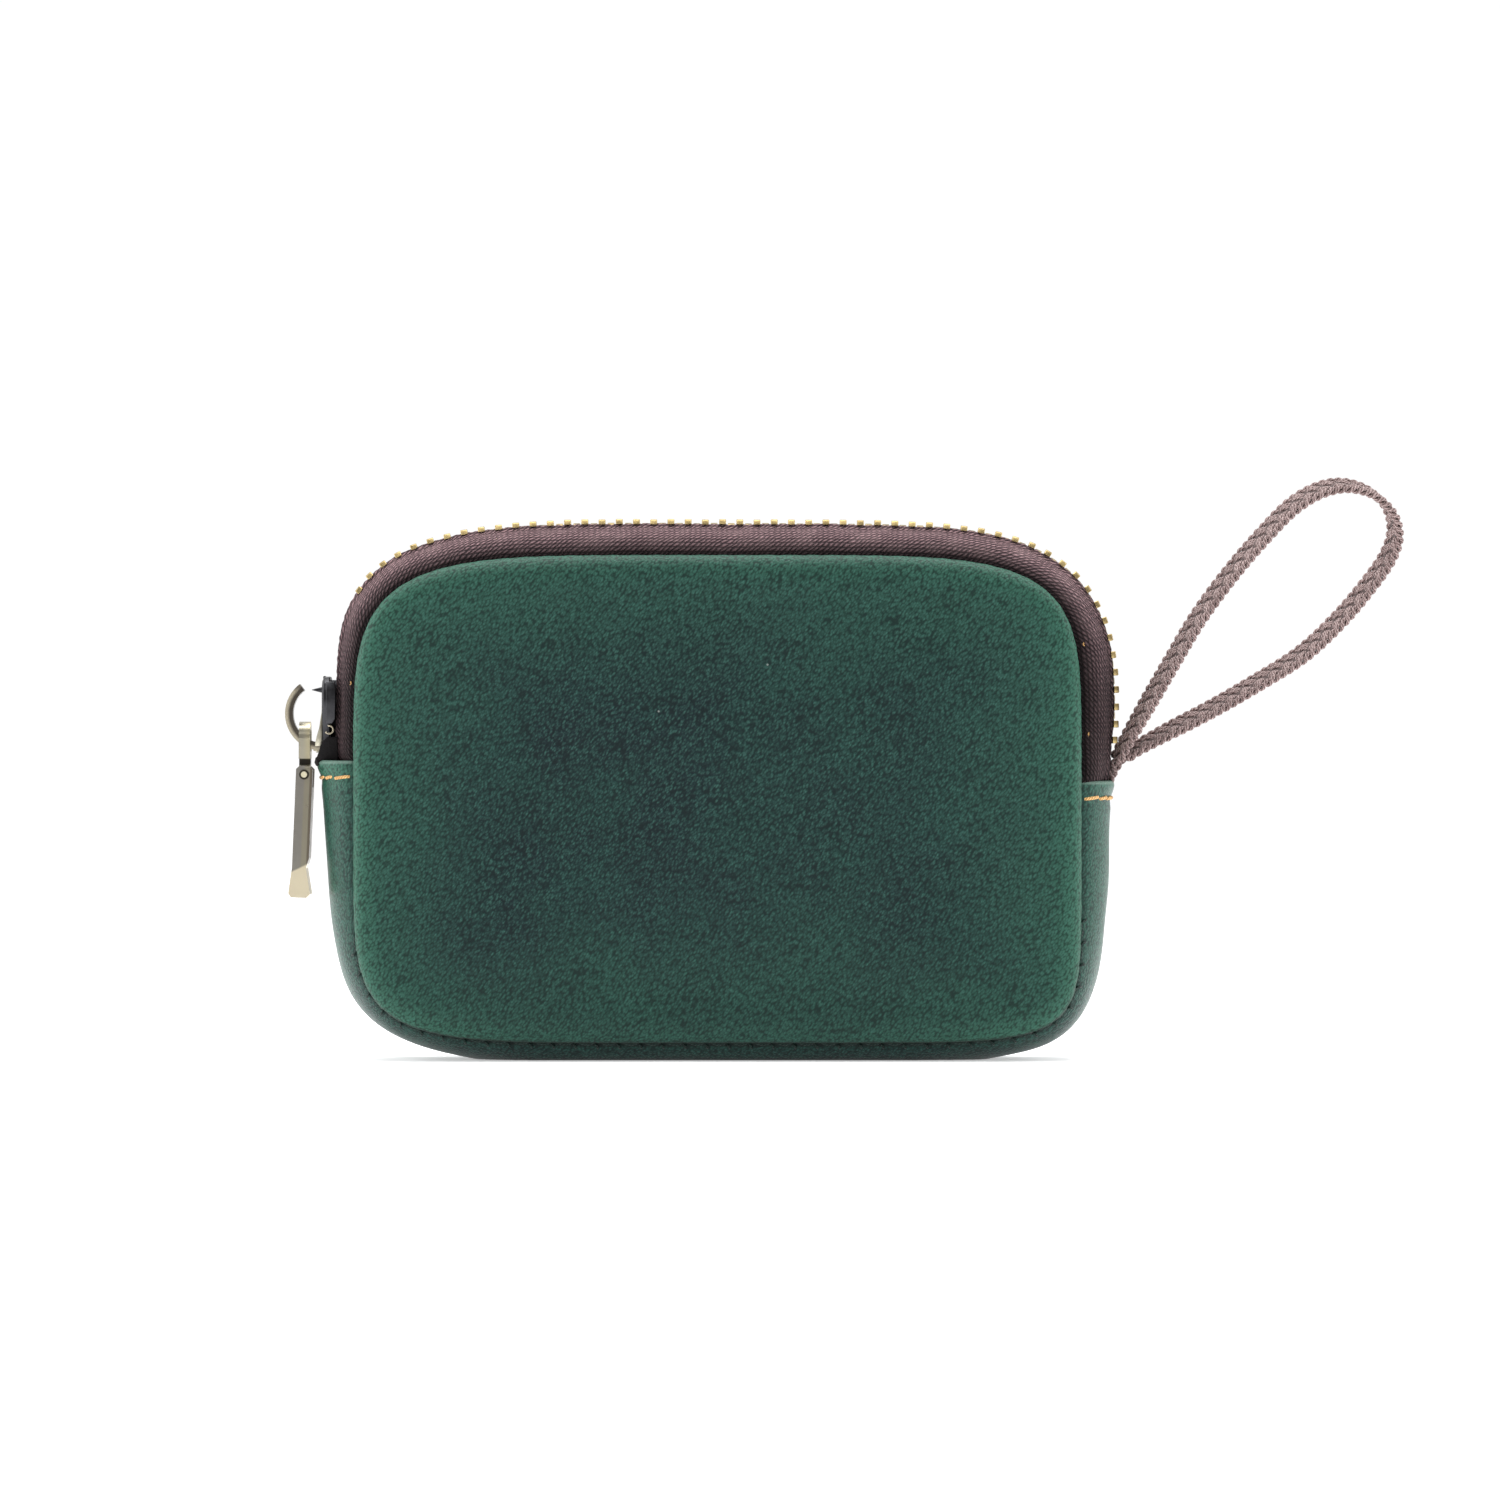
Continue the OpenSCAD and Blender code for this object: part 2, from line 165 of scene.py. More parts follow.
# -------------------- mesh makers

def new_mesh(name, verts, faces, uvs):
    """Smooth mesh object from points in millimetres, with one UV for each point."""
    mesh = bpy.data.meshes.new(name)
    mesh.from_pydata((np.asarray(verts) * MM).tolist(), [], faces)
    layer = mesh.uv_layers.new(name="UVMap")
    index = np.zeros(len(mesh.loops), int)
    mesh.loops.foreach_get("vertex_index", index)
    layer.data.foreach_set("uv", np.asarray(uvs)[index].astype(np.float32).ravel())
    mesh.polygons.foreach_set("use_smooth", [True] * len(mesh.polygons))
    mesh.update()
    return add_object(name, mesh)


def face_out(obj):
    """Turn every face outward."""
    bm = bmesh.new()
    bm.from_mesh(obj.data)
    bmesh.ops.recalc_face_normals(bm, faces=bm.faces)
    bm.to_mesh(obj.data)
    bm.free()


def paint(obj, name, values):
    """One number for each point of the mesh, for the materials to read."""
    a = obj.data.attributes.new(name, "FLOAT", "POINT")
    a.data.foreach_set("value", np.asarray(values, np.float32))


def loops_faces(m, n):
    """Quads between m loops of n points, with a face over each end."""
    j, i = np.meshgrid(np.arange(m - 1), np.arange(n), indexing="ij")
    a = j * n + i
    b = j * n + (i + 1) % n
    faces = np.stack([a, b, b + n, a + n], -1).reshape(-1, 4).tolist()
    return faces + [list(range(n))[::-1], list(range((m - 1) * n, m * n))]


def band_normals(p, t):
    """Unit normals of a grid of points (m, n, 3) along the outline, away from its middle."""
    nrm = np.cross(np.gradient(p, axis=1), np.gradient(p, axis=0))
    nrm /= np.maximum(np.linalg.norm(nrm, axis=-1, keepdims=True), 1e-9)
    inward = np.sum(nrm[:, p.shape[1] // 2] * place(across(t), 0)) < 0
    return -nrm if inward else nrm


def slab(name, p, nrm, thick, uvs):
    """Sheet of the given thickness under the outer face p (m, n, 3), rounded at every edge."""
    m, r, steps = len(p), thick / 2, 4
    dv0, dv1 = unit(p[:, 0] - p[:, 1]), unit(p[:, -1] - p[:, -2])
    du0, du1 = unit(p[0] - p[1]), unit(p[-1] - p[-2])
    ang = np.linspace(0, math.pi, steps + 2)[1:-1]

    def ring(j, shift, rr):
        base = p[j] + shift
        k = nrm[j]
        mid = base - k * r
        side1 = [mid[-1] + (k[-1] * math.cos(a) + dv1[j] * math.sin(a)) * rr for a in ang]
        side0 = [mid[0] + (-k[0] * math.cos(a) + dv0[j] * math.sin(a)) * rr for a in ang]
        pts = np.concatenate([mid + k * rr, side1, (mid - k * rr)[::-1], side0])
        u = uvs[j]
        uv = np.concatenate([u, np.repeat(u[-1:], steps, 0), u[::-1], np.repeat(u[:1], steps, 0)])
        return pts, uv

    ends = np.linspace(math.pi / 2 * 0.96, 0, steps)[:-1]
    rows = [ring(0, du0 * r * math.sin(a), r * math.cos(a)) for a in ends]
    rows += [ring(j, 0, r) for j in range(m)]
    rows += [ring(m - 1, du1 * r * math.sin(a), r * math.cos(a)) for a in ends[::-1]]
    verts = np.concatenate([x[0] for x in rows])
    uv = np.concatenate([x[1] for x in rows])
    obj = new_mesh(name, verts, loops_faces(len(rows), len(rows[0][0])), uv)
    face_out(obj)
    return obj


def oval(n, a, b):
    """Closed section of n points with half axes a and b."""
    k = np.arange(n) / n * TAU
    return np.stack([np.cos(k) * a, np.sin(k) * b], -1)


def tube(path, side, section):
    """Points, faces and UVs of a closed section (k, 2) swept along path (m, 3).

    side is the direction of the section's first axis, at each point or for all of them.
    """
    tang = unit(np.gradient(path, axis=0))
    side = unit(side - tang * np.sum(side * tang, -1, keepdims=True))[:, None]
    up = np.cross(tang, side[:, 0])[:, None]
    m, k = len(path), len(section)
    pts = path[:, None] + side * section[None, :, 0:1] + up * section[None, :, 1:2]
    uv = np.stack(np.broadcast_arrays(run_length(path)[:, None], np.arange(k)[None] / k), -1)
    return pts.reshape(-1, 3), loops_faces(m, k), uv.reshape(-1, 2)


def join(parts):
    """Several (points, faces, uvs) as one."""
    verts, faces, uvs, base = [], [], [], 0
    for v, f, u in parts:
        verts.append(v)
        uvs.append(u)
        faces += [[i + base for i in face] for face in f]
        base += len(v)
    return np.concatenate(verts), faces, np.concatenate(uvs)


def solid(bm, loops):
    """Closed lofted solid through loops of points in a bmesh."""
    rings = [[bm.verts.new(p) for p in loop] for loop in loops]
    n = len(rings[0])
    for a, b in zip(rings, rings[1:]):
        for i in range(n):
            bm.faces.new([a[i], a[(i + 1) % n], b[(i + 1) % n], b[i]])
    bm.faces.new(rings[0][::-1])
    bm.faces.new(rings[-1])


def place(p2, y):
    """Points (x, z) and their y as points in space."""
    y = np.broadcast_to(y, p2.shape[:-1])
    return np.stack([p2[..., 0], y, p2[..., 1]], -1)


def mirrored(obj, name):
    """Copy of obj on the other side of the middle plane."""
    other = obj.copy()
    other.data = obj.data.copy()
    other.name = name
    other.data.name = name
    scene.collection.objects.link(other)
    other.data.transform(((1, 0, 0, 0), (0, -1, 0, 0), (0, 0, 1, 0), (0, 0, 0, 1)))
    other.data.flip_normals()
    return other


def moved_to_back(obj, name):
    """Mirror image of obj, in place of obj itself."""
    other = mirrored(obj, name)
    bpy.data.objects.remove(obj)
    return other


# -------------------- materials

class Tree:
    """Short way to write a node material."""

    def __init__(self, name):
        self.mat = bpy.data.materials.new(name)
        self.mat.use_nodes = True
        self.t = self.mat.node_tree
        self.t.nodes.clear()
        self.bsdf = self.t.nodes.new("ShaderNodeBsdfPrincipled")
        out = self.t.nodes.new("ShaderNodeOutputMaterial")
        self.t.links.new(self.bsdf.outputs[0], out.inputs[0])

    def node(self, kind, inputs=None, **props):
        n = self.t.nodes.new("ShaderNode" + kind)
        for k, v in props.items():
            setattr(n, k, v)
        for k, v in (inputs or {}).items():
            self.put(n.inputs[k], v)
        return n

    def put(self, socket, v):
        if isinstance(v, bpy.types.NodeSocket):
            self.t.links.new(v, socket)
        else:
            colour = isinstance(v, tuple) and len(v) == 3 and len(socket.default_value) == 4
            socket.default_value = (*v, 1.0) if colour else v

    def math(self, op, a, b=0.0, c=0.0):
        return self.node("Math", {0: a, 1: b, 2: c}, operation=op).outputs[0]

    def mix(self, f, a, b, blend="MIX"):
        n = self.node("Mix", data_type="RGBA", blend_type=blend)
        for i, v in ((0, f), (6, a), (7, b)):
            self.put(n.inputs[i], v)
        return n.outputs[2]

    def noise(self, where, scale, detail=3.0, rough=0.5, dist=0.0):
        n = self.node("TexNoise", {"Vector": where, "Scale": scale, "Detail": detail,
                                   "Roughness": rough, "Distortion": dist})
        return n.outputs[0]

    def cells(self, where, scale):
        """Distance from the middle of the nearest cell."""
        return self.node("TexVoronoi", {"Vector": where, "Scale": scale}).outputs["Distance"]

    def ramp(self, f, start, stop, low, high):
        """low where f is start, high where it is stop, and held beyond them."""
        n = self.node("MapRange", {"Value": f, "From Min": start, "From Max": stop,
                                   "To Min": low, "To Max": high})
        return n.outputs[0]

    def times(self, a, b):
        return self.math("MULTIPLY", a, b)

    def wave(self, f):
        """Sine of f turns, as 0 to 1."""
        return self.math("MULTIPLY_ADD", self.math("SINE", self.times(f, TAU)), 0.5, 0.5)

    def tag(self, name):
        """What paint() wrote on the mesh under this name."""
        return self.node("Attribute", attribute_name=name).outputs["Fac"]

    def place(self):
        return self.node("TexCoord").outputs["Object"]

    def bump(self, height, distance, strength, normal=None):
        n = self.node("Bump", {"Height": height, "Distance": distance, "Strength": strength})
        if normal is not None:
            self.put(n.inputs["Normal"], normal)
        return n.outputs[0]

    def set(self, **values):
        for k, v in values.items():
            self.put(self.bsdf.inputs[k.replace("_", " ")], v)


# The edge green is a painted highlight and the seam dark is painted shade; the other greens are the
# leather's own tone.
INK_GREEN, DEEP_GREEN = (0.0038, 0.0135, 0.017), (0.0075, 0.035, 0.028)
PATCH_GREEN, EDGE_HIGHLIGHT_GREEN = (0.008, 0.046, 0.036), (0.036, 0.135, 0.086)
PEBBLE_GREEN, PIT_GREEN = (0.046, 0.145, 0.115), (0.0015, 0.007, 0.0075)
SPECK, CUT_EDGE, SHADE_GREEN = (0.4, 0.45, 0.42), (0.2, 0.3, 0.25), (0.001, 0.004, 0.0035)


def leather(name, gloss, smooth):
    """Matt pebbled leather, with a painted highlight of lighter green toward the edges and painted
    shade in the seam and along the base.
    """
    t = Tree(name)
    pos = t.place()
    edge = t.tag("edge")
    cut = t.tag("cut")
    painted_shade = t.tag("painted_shade")
    drift = t.noise(pos, 21, 4.0, 0.6, 0.5)
    cloud = t.ramp(drift, 0.38, 0.64, 0.0, 1.0)
    patch = t.ramp(t.noise(pos, 95, 4.0, 0.65), 0.35, 0.7, 0.0, 1.0)
    grain_pos = t.node("Mapping", {"Vector": pos, "Rotation": (0.0, 0.65, 0.0),
                                   "Scale": (0.9, 1.0, 1.75)}, vector_type="TEXTURE").outputs[0]
    cell = t.cells(grain_pos, 2900.0)
    pebble = t.ramp(cell, 0.15, 0.75, 1.0, 0.0)
    mottle = t.noise(grain_pos, 3000, 3.0, 0.7)
    fibre = t.noise(pos, 5200, 2.0, 0.6)
    body = t.mix(cloud, INK_GREEN, DEEP_GREEN)
    body = t.mix(t.times(patch, 0.4), body, PATCH_GREEN)
    # Painted highlight: lighter green where the leather's edges turn to catch grazing light.
    edge_highlight = t.times(edge, t.ramp(mottle, 0.3, 0.7, 0.75, 1.05))
    body = t.mix(edge_highlight, body, EDGE_HIGHLIGHT_GREEN)
    light = t.times(t.ramp(mottle, 0.4, 0.68, 0.0, 0.75), pebble)
    body = t.mix(light, body, PEBBLE_GREEN)
    body = t.mix(t.ramp(cell, 0.4, 0.8, 0.0, 0.7), body, PIT_GREEN)
    body = t.mix(t.ramp(t.cells(pos, 105.0), 0.012, 0.02, 0.5, 0.0), body, SPECK)
    body = t.mix(cut, body, CUT_EDGE)
    # Painted shade: dark in the seam groove and along the base where it meets the floor.
    body = t.mix(painted_shade, body, SHADE_GREEN)
    n1 = t.bump(pebble, 0.0001, 0.5)
    n2 = t.bump(mottle, 0.00012, 0.4, n1)
    n3 = t.bump(fibre, 0.00003, 0.35, n2)
    t.set(Base_Color=body, Roughness=t.ramp(mottle, 0.3, 0.7, smooth, smooth + 0.16), Normal=n3,
          Specular_IOR_Level=gloss)
    return t.mat


def tape_fabric():
    """Knitted tape, painted lighter higher up as light from above and darker by the seam as shade:
    u runs along it and v across it, in millimetres.
    """
    t = Tree("tape_brown")
    uv = t.node("UVMap", uv_map="UVMap").outputs[0]
    pos = t.place()
    wobble = t.math("MULTIPLY_ADD", t.noise(pos, 420, 2.0, 0.5), 0.9, -0.45)
    sep = t.node("SeparateXYZ", {0: uv})
    u = t.math("ADD", sep.outputs[0], wobble)
    v = t.math("ADD", sep.outputs[1], t.times(wobble, 0.4))
    wale = t.math("FRACT", t.times(v, 1 / 0.85))
    lean = t.math("ADD", t.times(u, 1 / 0.8), wale)
    loop = t.wave(lean)
    rib = t.math("SINE", t.times(wale, math.pi))
    fuzz = t.noise(pos, 3600, 3.0, 0.7)
    patch = t.noise(pos, 300, 3.0, 0.6)
    height = t.math("ADD", t.times(loop, rib), t.times(fuzz, 0.55))
    body = t.mix(t.ramp(height, 0.2, 1.15, 0.0, 1.0), (0.003, 0.002, 0.003), (0.12, 0.075, 0.08))
    body = t.mix(t.ramp(patch, 0.45, 0.75, 0.0, 0.14), body, (0.2, 0.14, 0.14))
    # Painted light and shade: brighter toward the top of the pouch, darker near the seam.
    tall = t.node("SeparateXYZ", {0: pos}).outputs[2]
    top_light = t.ramp(tall, 0.055, 0.074, 0.8, 2.9)
    shade = t.times(t.ramp(sep.outputs[1], 0.6, 4.4, 0.1, 1.15), top_light)
    body = t.mix(1.0, body, t.node("CombineXYZ", {0: shade, 1: shade, 2: shade}).outputs[0],
                 "MULTIPLY")
    t.set(Base_Color=body, Roughness=0.85, Normal=t.bump(height, 0.0004, 1.0),
          Specular_IOR_Level=0.1,
          Sheen_Weight=0.03, Sheen_Roughness=0.35, Sheen_Tint=(0.95, 0.84, 0.84))
    return t.mat


def yarn(name, dark, light, ply=0.45, sheen=0.3, rough=0.75):
    """Twisted thread: u runs along it in millimetres and v once round it."""
    t = Tree(name)
    uv = t.node("UVMap", uv_map="UVMap").outputs[0]
    sep = t.node("SeparateXYZ", {0: uv})
    turn = t.math("ADD", t.times(sep.outputs[0], 1 / ply), t.times(sep.outputs[1], 3.0))
    twist = t.wave(turn)
    pos = t.place()
    fuzz = t.noise(pos, 4200, 2.0, 0.6)
    patch = t.noise(pos, 420, 3.0, 0.6)
    height = t.math("ADD", twist, t.times(fuzz, 0.6))
    body = t.mix(t.ramp(height, 0.15, 1.3, 0.0, 1.0), dark, light)
    body = t.mix(t.ramp(patch, 0.4, 0.7, 0.0, 0.45), body, dark)
    # Painted shade: darker on the braid's core, seen between the strands.
    deep = t.tag("deep")
    body = t.mix(deep, body, tuple(0.5 * c for c in dark))
    t.set(Base_Color=body, Roughness=rough, Normal=t.bump(height, 0.00012, 0.8),
          Specular_IOR_Level=0.3,
          Sheen_Weight=sheen, Sheen_Roughness=0.4, Sheen_Tint=(1.0, 0.93, 0.9))
    return t.mat


def metal(name, low, high, rough, grime=(0.03, 0.025, 0.02), wear=0.35, painted_light_and_wear=None):
    """Metal with dark grime in its corners and bright wear on its edges."""
    t = Tree(name)
    pos = t.place()
    big = t.noise(pos, 330, 4.0, 0.65)
    fine = t.noise(pos, 2600, 2.0, 0.6)
    point = t.node("NewGeometry").outputs["Pointiness"]
    body = t.mix(t.ramp(big, 0.35, 0.68, 0.0, 1.0), low, high)
    body = t.mix(t.ramp(point, 0.5, 0.44, 0.0, 0.75), body, grime)
    body = t.mix(t.ramp(point, 0.52, 0.6, 0.0, wear), body,
                 tuple(min(1.0, 1.5 * c + 0.05) for c in high))
    # A part's own function adds painted highlights and shade, and on the pull tab a worn end.
    if painted_light_and_wear:
        where = t.node("SeparateXYZ", {0: pos})
        body = painted_light_and_wear(t, where.outputs[0], where.outputs[2], body)
    t.set(Base_Color=body, Metallic=1.0, Roughness=t.ramp(big, 0.3, 0.7, rough - 0.06, rough + 0.1),
          Normal=t.bump(fine, 0.00001, 0.6))
    return t.mat


CROWN_CENTRE, RIVET_CENTRE = (-0.0594, 0.0522), (-0.062, 0.043)  # (x, z)
TAB_LEAN = 0.0419  # how far the pull tab leans, as a slope
# Dark colour of the painted shade at the link's neck and round the rivet.
METAL_SHADE = (0.006, 0.005, 0.005)


def radius(t, x, z, centre):
    """Distance from centre in the plane of the panel."""
    a, b = t.math("ADD", x, -centre[0]), t.math("ADD", z, -centre[1])
    return t.math("SQRT", t.math("ADD", t.times(a, a), t.times(b, b)))


def crown_shade(t, x, z, body):
    """Painted shade: darker on the inner side of the hook and on its tip."""
    body = t.mix(t.ramp(radius(t, x, z, CROWN_CENTRE), 0.0049, 0.0053, 0.9, 0.0), body,
                 (0.035, 0.028, 0.026))
    return t.mix(t.ramp(z, 0.0555, 0.0561, 0.0, 0.7), body, (0.05, 0.042, 0.04))


def link_light_and_shade(t, x, z, body):
    """Painted highlight on the right side, and painted shade at the neck over the rivet."""
    body = t.mix(t.ramp(x, -0.0622, -0.0614, 0.0, 0.65), body, (0.5, 0.44, 0.27))
    neck = t.times(t.ramp(z, 0.0443, 0.0445, 0.0, 0.95), t.ramp(z, 0.0453, 0.0455, 1.0, 0.0))
    return t.mix(neck, body, METAL_SHADE)


def rivet_shade(t, x, z, body):
    """Painted shade in a ring round the rivet's head."""
    return t.mix(t.ramp(radius(t, x, z, RIVET_CENTRE), 0.00042, 0.0005, 0.0, 0.95), body, METAL_SHADE)


def tab_light_shade_and_wear(t, x, z, body):
    """Painted highlight in a strip down the right with painted shade past it, painted shade round
    the rivet, and a pale worn end.
    """
    middle = RIVET_CENTRE[0] - TAB_LEAN * RIVET_CENTRE[1]
    u = t.math("ADD", t.math("ADD", x, -middle), t.times(z, -TAB_LEAN))
    body = t.mix(t.ramp(u, -0.0001, 0.0002, 0.0, 0.7), body, (0.26, 0.235, 0.165))
    body = t.mix(t.ramp(u, 0.0008, 0.00095, 0.0, 0.7), body, (0.09, 0.07, 0.055))
    body = t.mix(t.ramp(radius(t, x, z, RIVET_CENTRE), 0.0007, 0.0008, 0.95, 0.0), body, METAL_SHADE)
    end = t.math("ADD", z, t.times(u, -0.5))
    return t.mix(t.ramp(end, 0.0288, 0.0291, 1.0, 0.0), body, (0.62, 0.55, 0.4))


WEAVE = 0.0005


def lining_cloth():
    """Plain brown weave."""
    t = Tree("lining_fabric")
    pos = t.place()
    sep = t.node("SeparateXYZ", {0: pos})
    a = t.math("SINE", t.times(sep.outputs[0], TAU / WEAVE))
    b = t.math("SINE", t.times(sep.outputs[2], TAU / WEAVE))
    height = t.math("MAXIMUM", a, b)
    body = t.mix(t.ramp(height, -0.2, 1.0, 0.0, 1.0), (0.035, 0.03, 0.028), (0.1, 0.088, 0.08))
    body = t.mix(t.ramp(t.noise(pos, 60, 3.0), 0.35, 0.7, 0.0, 0.4), body, (0.06, 0.055, 0.05))
    t.set(Base_Color=body, Roughness=0.82, Normal=t.bump(height, 0.00008, 0.5),
          Specular_IOR_Level=0.25)
    return t.mat


LEATHER = leather("leather_green", 0.2, 0.44)
BAND_LEATHER = leather("leather_green_band", 0.2, 0.28)
TAPE = tape_fabric()
STRAP = yarn("strap_braid", (0.115, 0.066, 0.062), (0.48, 0.36, 0.345), ply=0.55)
GOLD_THREAD = yarn("thread_gold", (0.46, 0.19, 0.04), (0.95, 0.6, 0.24), ply=0.5, sheen=0.15,
                   rough=0.5)
GREEN_THREAD = yarn("thread_green", (0.004, 0.012, 0.01), (0.018, 0.045, 0.036), ply=0.5,
                    sheen=0.05, rough=0.6)
BRASS = metal("zip_brass", (0.15, 0.105, 0.04), (0.42, 0.32, 0.14), 0.36, wear=0.6)
ANTIQUE = metal("antique_metal", (0.17, 0.145, 0.105), (0.36, 0.32, 0.235), 0.3, wear=0.75)
CROWN_METAL = metal("crown_metal", (0.17, 0.145, 0.105), (0.36, 0.32, 0.235), 0.3, wear=0.75,
                    painted_light_and_wear=crown_shade)
LINK_METAL = metal("link_metal", (0.14, 0.13, 0.1), (0.27, 0.25, 0.19), 0.3, wear=0.75,
                   painted_light_and_wear=link_light_and_shade)
TAB_METAL = metal("tab_metal", (0.095, 0.088, 0.078), (0.155, 0.145, 0.125), 0.32, wear=0.6,
                  painted_light_and_wear=tab_light_shade_and_wear)
RIVET = metal("rivet_brass", (0.5, 0.42, 0.28), (0.72, 0.64, 0.46), 0.3, painted_light_and_wear=rivet_shade)
LEAF_METAL = metal("leaf_metal", (0.38, 0.34, 0.25), (0.7, 0.66, 0.52), 0.3, wear=0.7)
BLACKENED = metal("dark_metal", (0.02, 0.02, 0.022), (0.06, 0.06, 0.065), 0.34,
                  (0.005, 0.005, 0.005), 0.25)
LINING = lining_cloth()
# Near-black thread, painted shade for the gap under the slider.
TAPE_END_SHADE = yarn("tape_end_shade", (0.002, 0.002, 0.002), (0.012, 0.009, 0.01), ply=0.6, sheen=0.02,
                rough=0.85)


def dress(obj, mat):
    """Give obj its material."""
    obj.data.materials.clear()
    obj.data.materials.append(mat)
    return obj


# -------------------- wrist strap

# Middle line of the loop (x, z), from one root round to the other
ROUTE = np.array([
    (60.7, 45.2), (62.2, 48), (65, 53), (69, 60), (73, 66.8), (78, 73.6), (83, 79.4), (87, 83.4),
    (91, 85.8), (95, 86.6), (99, 85.6), (102, 83), (103, 79.6), (102, 76), (99, 71.6),
    (94.6, 66.4), (89, 61.2), (82, 56.8), (75, 52.8), (68, 49.2), (63.6, 46.8), (62, 45.6),
])
PIN = np.array([60.1, 43.9])
# The loop lies in a plane: how far its long side rises, and how far it leans out of the panel's
RISE, LEAN = math.radians(41.8), math.radians(25)
LOOP_N = np.array([-math.sin(RISE), math.cos(RISE)])
LOOP_SIDE = np.array([-math.sin(RISE) * math.sin(LEAN), math.cos(LEAN),
                      math.cos(RISE) * math.sin(LEAN)])


def smooth_route(points, step):
    """Catmull-Rom curve through points, read at equal steps of length."""
    p = np.concatenate([points[:1], points, points[-1:]])
    u = np.linspace(0, 1, 24, endpoint=False)[:, None]
    out = []
    for i in range(1, len(p) - 2):
        a, b, c, d = p[i - 1], p[i], p[i + 1], p[i + 2]
        out.append(0.5 * (2 * b + (c - a) * u + (2 * a - 5 * b + 4 * c - d) * u ** 2
                          + (3 * b - a - 3 * c + d) * u ** 3))
    out = np.concatenate(out + [points[-1:]])
    s = run_length(out)
    k = np.linspace(0, s[-1], int(s[-1] / step) + 1)
    return np.stack([np.interp(k, s, out[:, i]) for i in range(3)], -1), k


route3 = place(ROUTE, -math.tan(LEAN) * ((ROUTE - PIN) @ LOOP_N))
strap_line, strap_s = smooth_route(route3, 0.3)
strap_len = strap_s[-1]


def braid(line, s, side, strands, width, period, depth, yarns, gap, r, slim):
    """Flat braid over a core painted dark as shade, narrowed to the share slim of its width.

    Each strand is a few parallel yarns and weaves from edge to edge, over and under the others.
    Returns points, faces, UVs and, for each point, 1 on the core and 0 elsewhere, the mask of the
    painted shade.
    """
    up = unit(np.cross(unit(np.gradient(line, axis=0)), side))
    section = oval(7, r, 0.8 * r)
    reach = width / 2 - gap * (yarns - 1) / 2 - r
    slim = np.broadcast_to(slim, s.shape)
    core = tube(line, side, oval(16, width / 2 - 0.15, 0.3))
    pts = core[0].reshape(len(line), -1, 3)
    edgeways = np.broadcast_to(side, line.shape)[:, None]
    past = np.sum((pts - line[:, None]) * edgeways, -1, keepdims=True)
    pts = pts + (slim[:, None, None] - 1) * past * edgeways
    parts = [(pts.reshape(-1, 3), core[1], core[2])]
    for i in range(strands):
        ph = TAU * (s / period + i / strands)
        q = (line + side * (np.cos(ph) * reach * slim)[:, None]
             + up * (np.sin((strands - 1) * ph) * depth)[:, None])
        flat = unit(np.cross(up, np.gradient(q, axis=0)))
        for j in range(yarns):
            off = (j - (yarns - 1) / 2) * gap * slim[:, None]
            twist = 0.05 * np.sin(TAU * s / 1.9 + 2.1 * j + i)
            parts.append(tube(q + flat * off + up * twist[:, None], flat, section))
    for edge in (-1, 1):
        for ply in (0, 1):
            ph = edge * TAU * s / 2.5 + math.pi * ply
            mid = edge * (width / 2 - 0.1) * slim
            q = line + side * (mid + 0.27 * np.cos(ph))[:, None] + up * (0.4 * np.sin(ph))[:, None]
            parts.append(tube(q, side, section * 1.35))
    deep = np.zeros(sum(len(part[0]) for part in parts))
    deep[:len(parts[0][0])] = 1
    return (*join(parts), deep)


near_root = np.clip(np.minimum(strap_s, strap_len - strap_s) / 10, 0, 1)
verts, faces, uvs, deep = braid(strap_line, strap_s, LOOP_SIDE, 3, 4.1, 7.5, 0.38, 3, 0.44, 0.27,
                                0.62 + 0.38 * near_root ** 0.8)
strap = new_mesh("braided_strap", verts, faces, uvs)
paint(strap, "deep", deep)
dress(strap, STRAP)
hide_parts("wrist_strap")
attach(strap, "strap")

# -------------------- leather panels

SHOULDER = 0.72  # share of the panel's rise that it reaches close to its edge


def dome(e, h):
    """Share of the panel's rise at distance e from its edge, with the middle at distance h."""
    steep = np.sqrt(np.clip(1 - (1 - np.minimum(1, e / 3.5)) ** 2, 0, 1))
    return SHOULDER * steep + (1 - SHOULDER) * (1 - (1 - e / h) ** 2)


def rise_at(k):
    """Rise of the panel at share k of the way from its middle to its edge."""
    return CROWN * (SHOULDER + (1 - SHOULDER) * (1 - k * k))


def toward_middle(base, e, h):
    """Points at distance e inside base, where the middle is at distance h."""
    return MIDDLE + (base - MIDDLE) * (1 - e / h)[:, None]


def edge_highlight_share(e):
    """How much painted highlight, as lighter green, the leather gets at distance e from its edge.
    """
    return 0.45 * np.clip(1 - e / 4.5, 0, 1) ** 1.5 + 0.65 * np.clip(1 - e / 27, 0, 1) ** 2


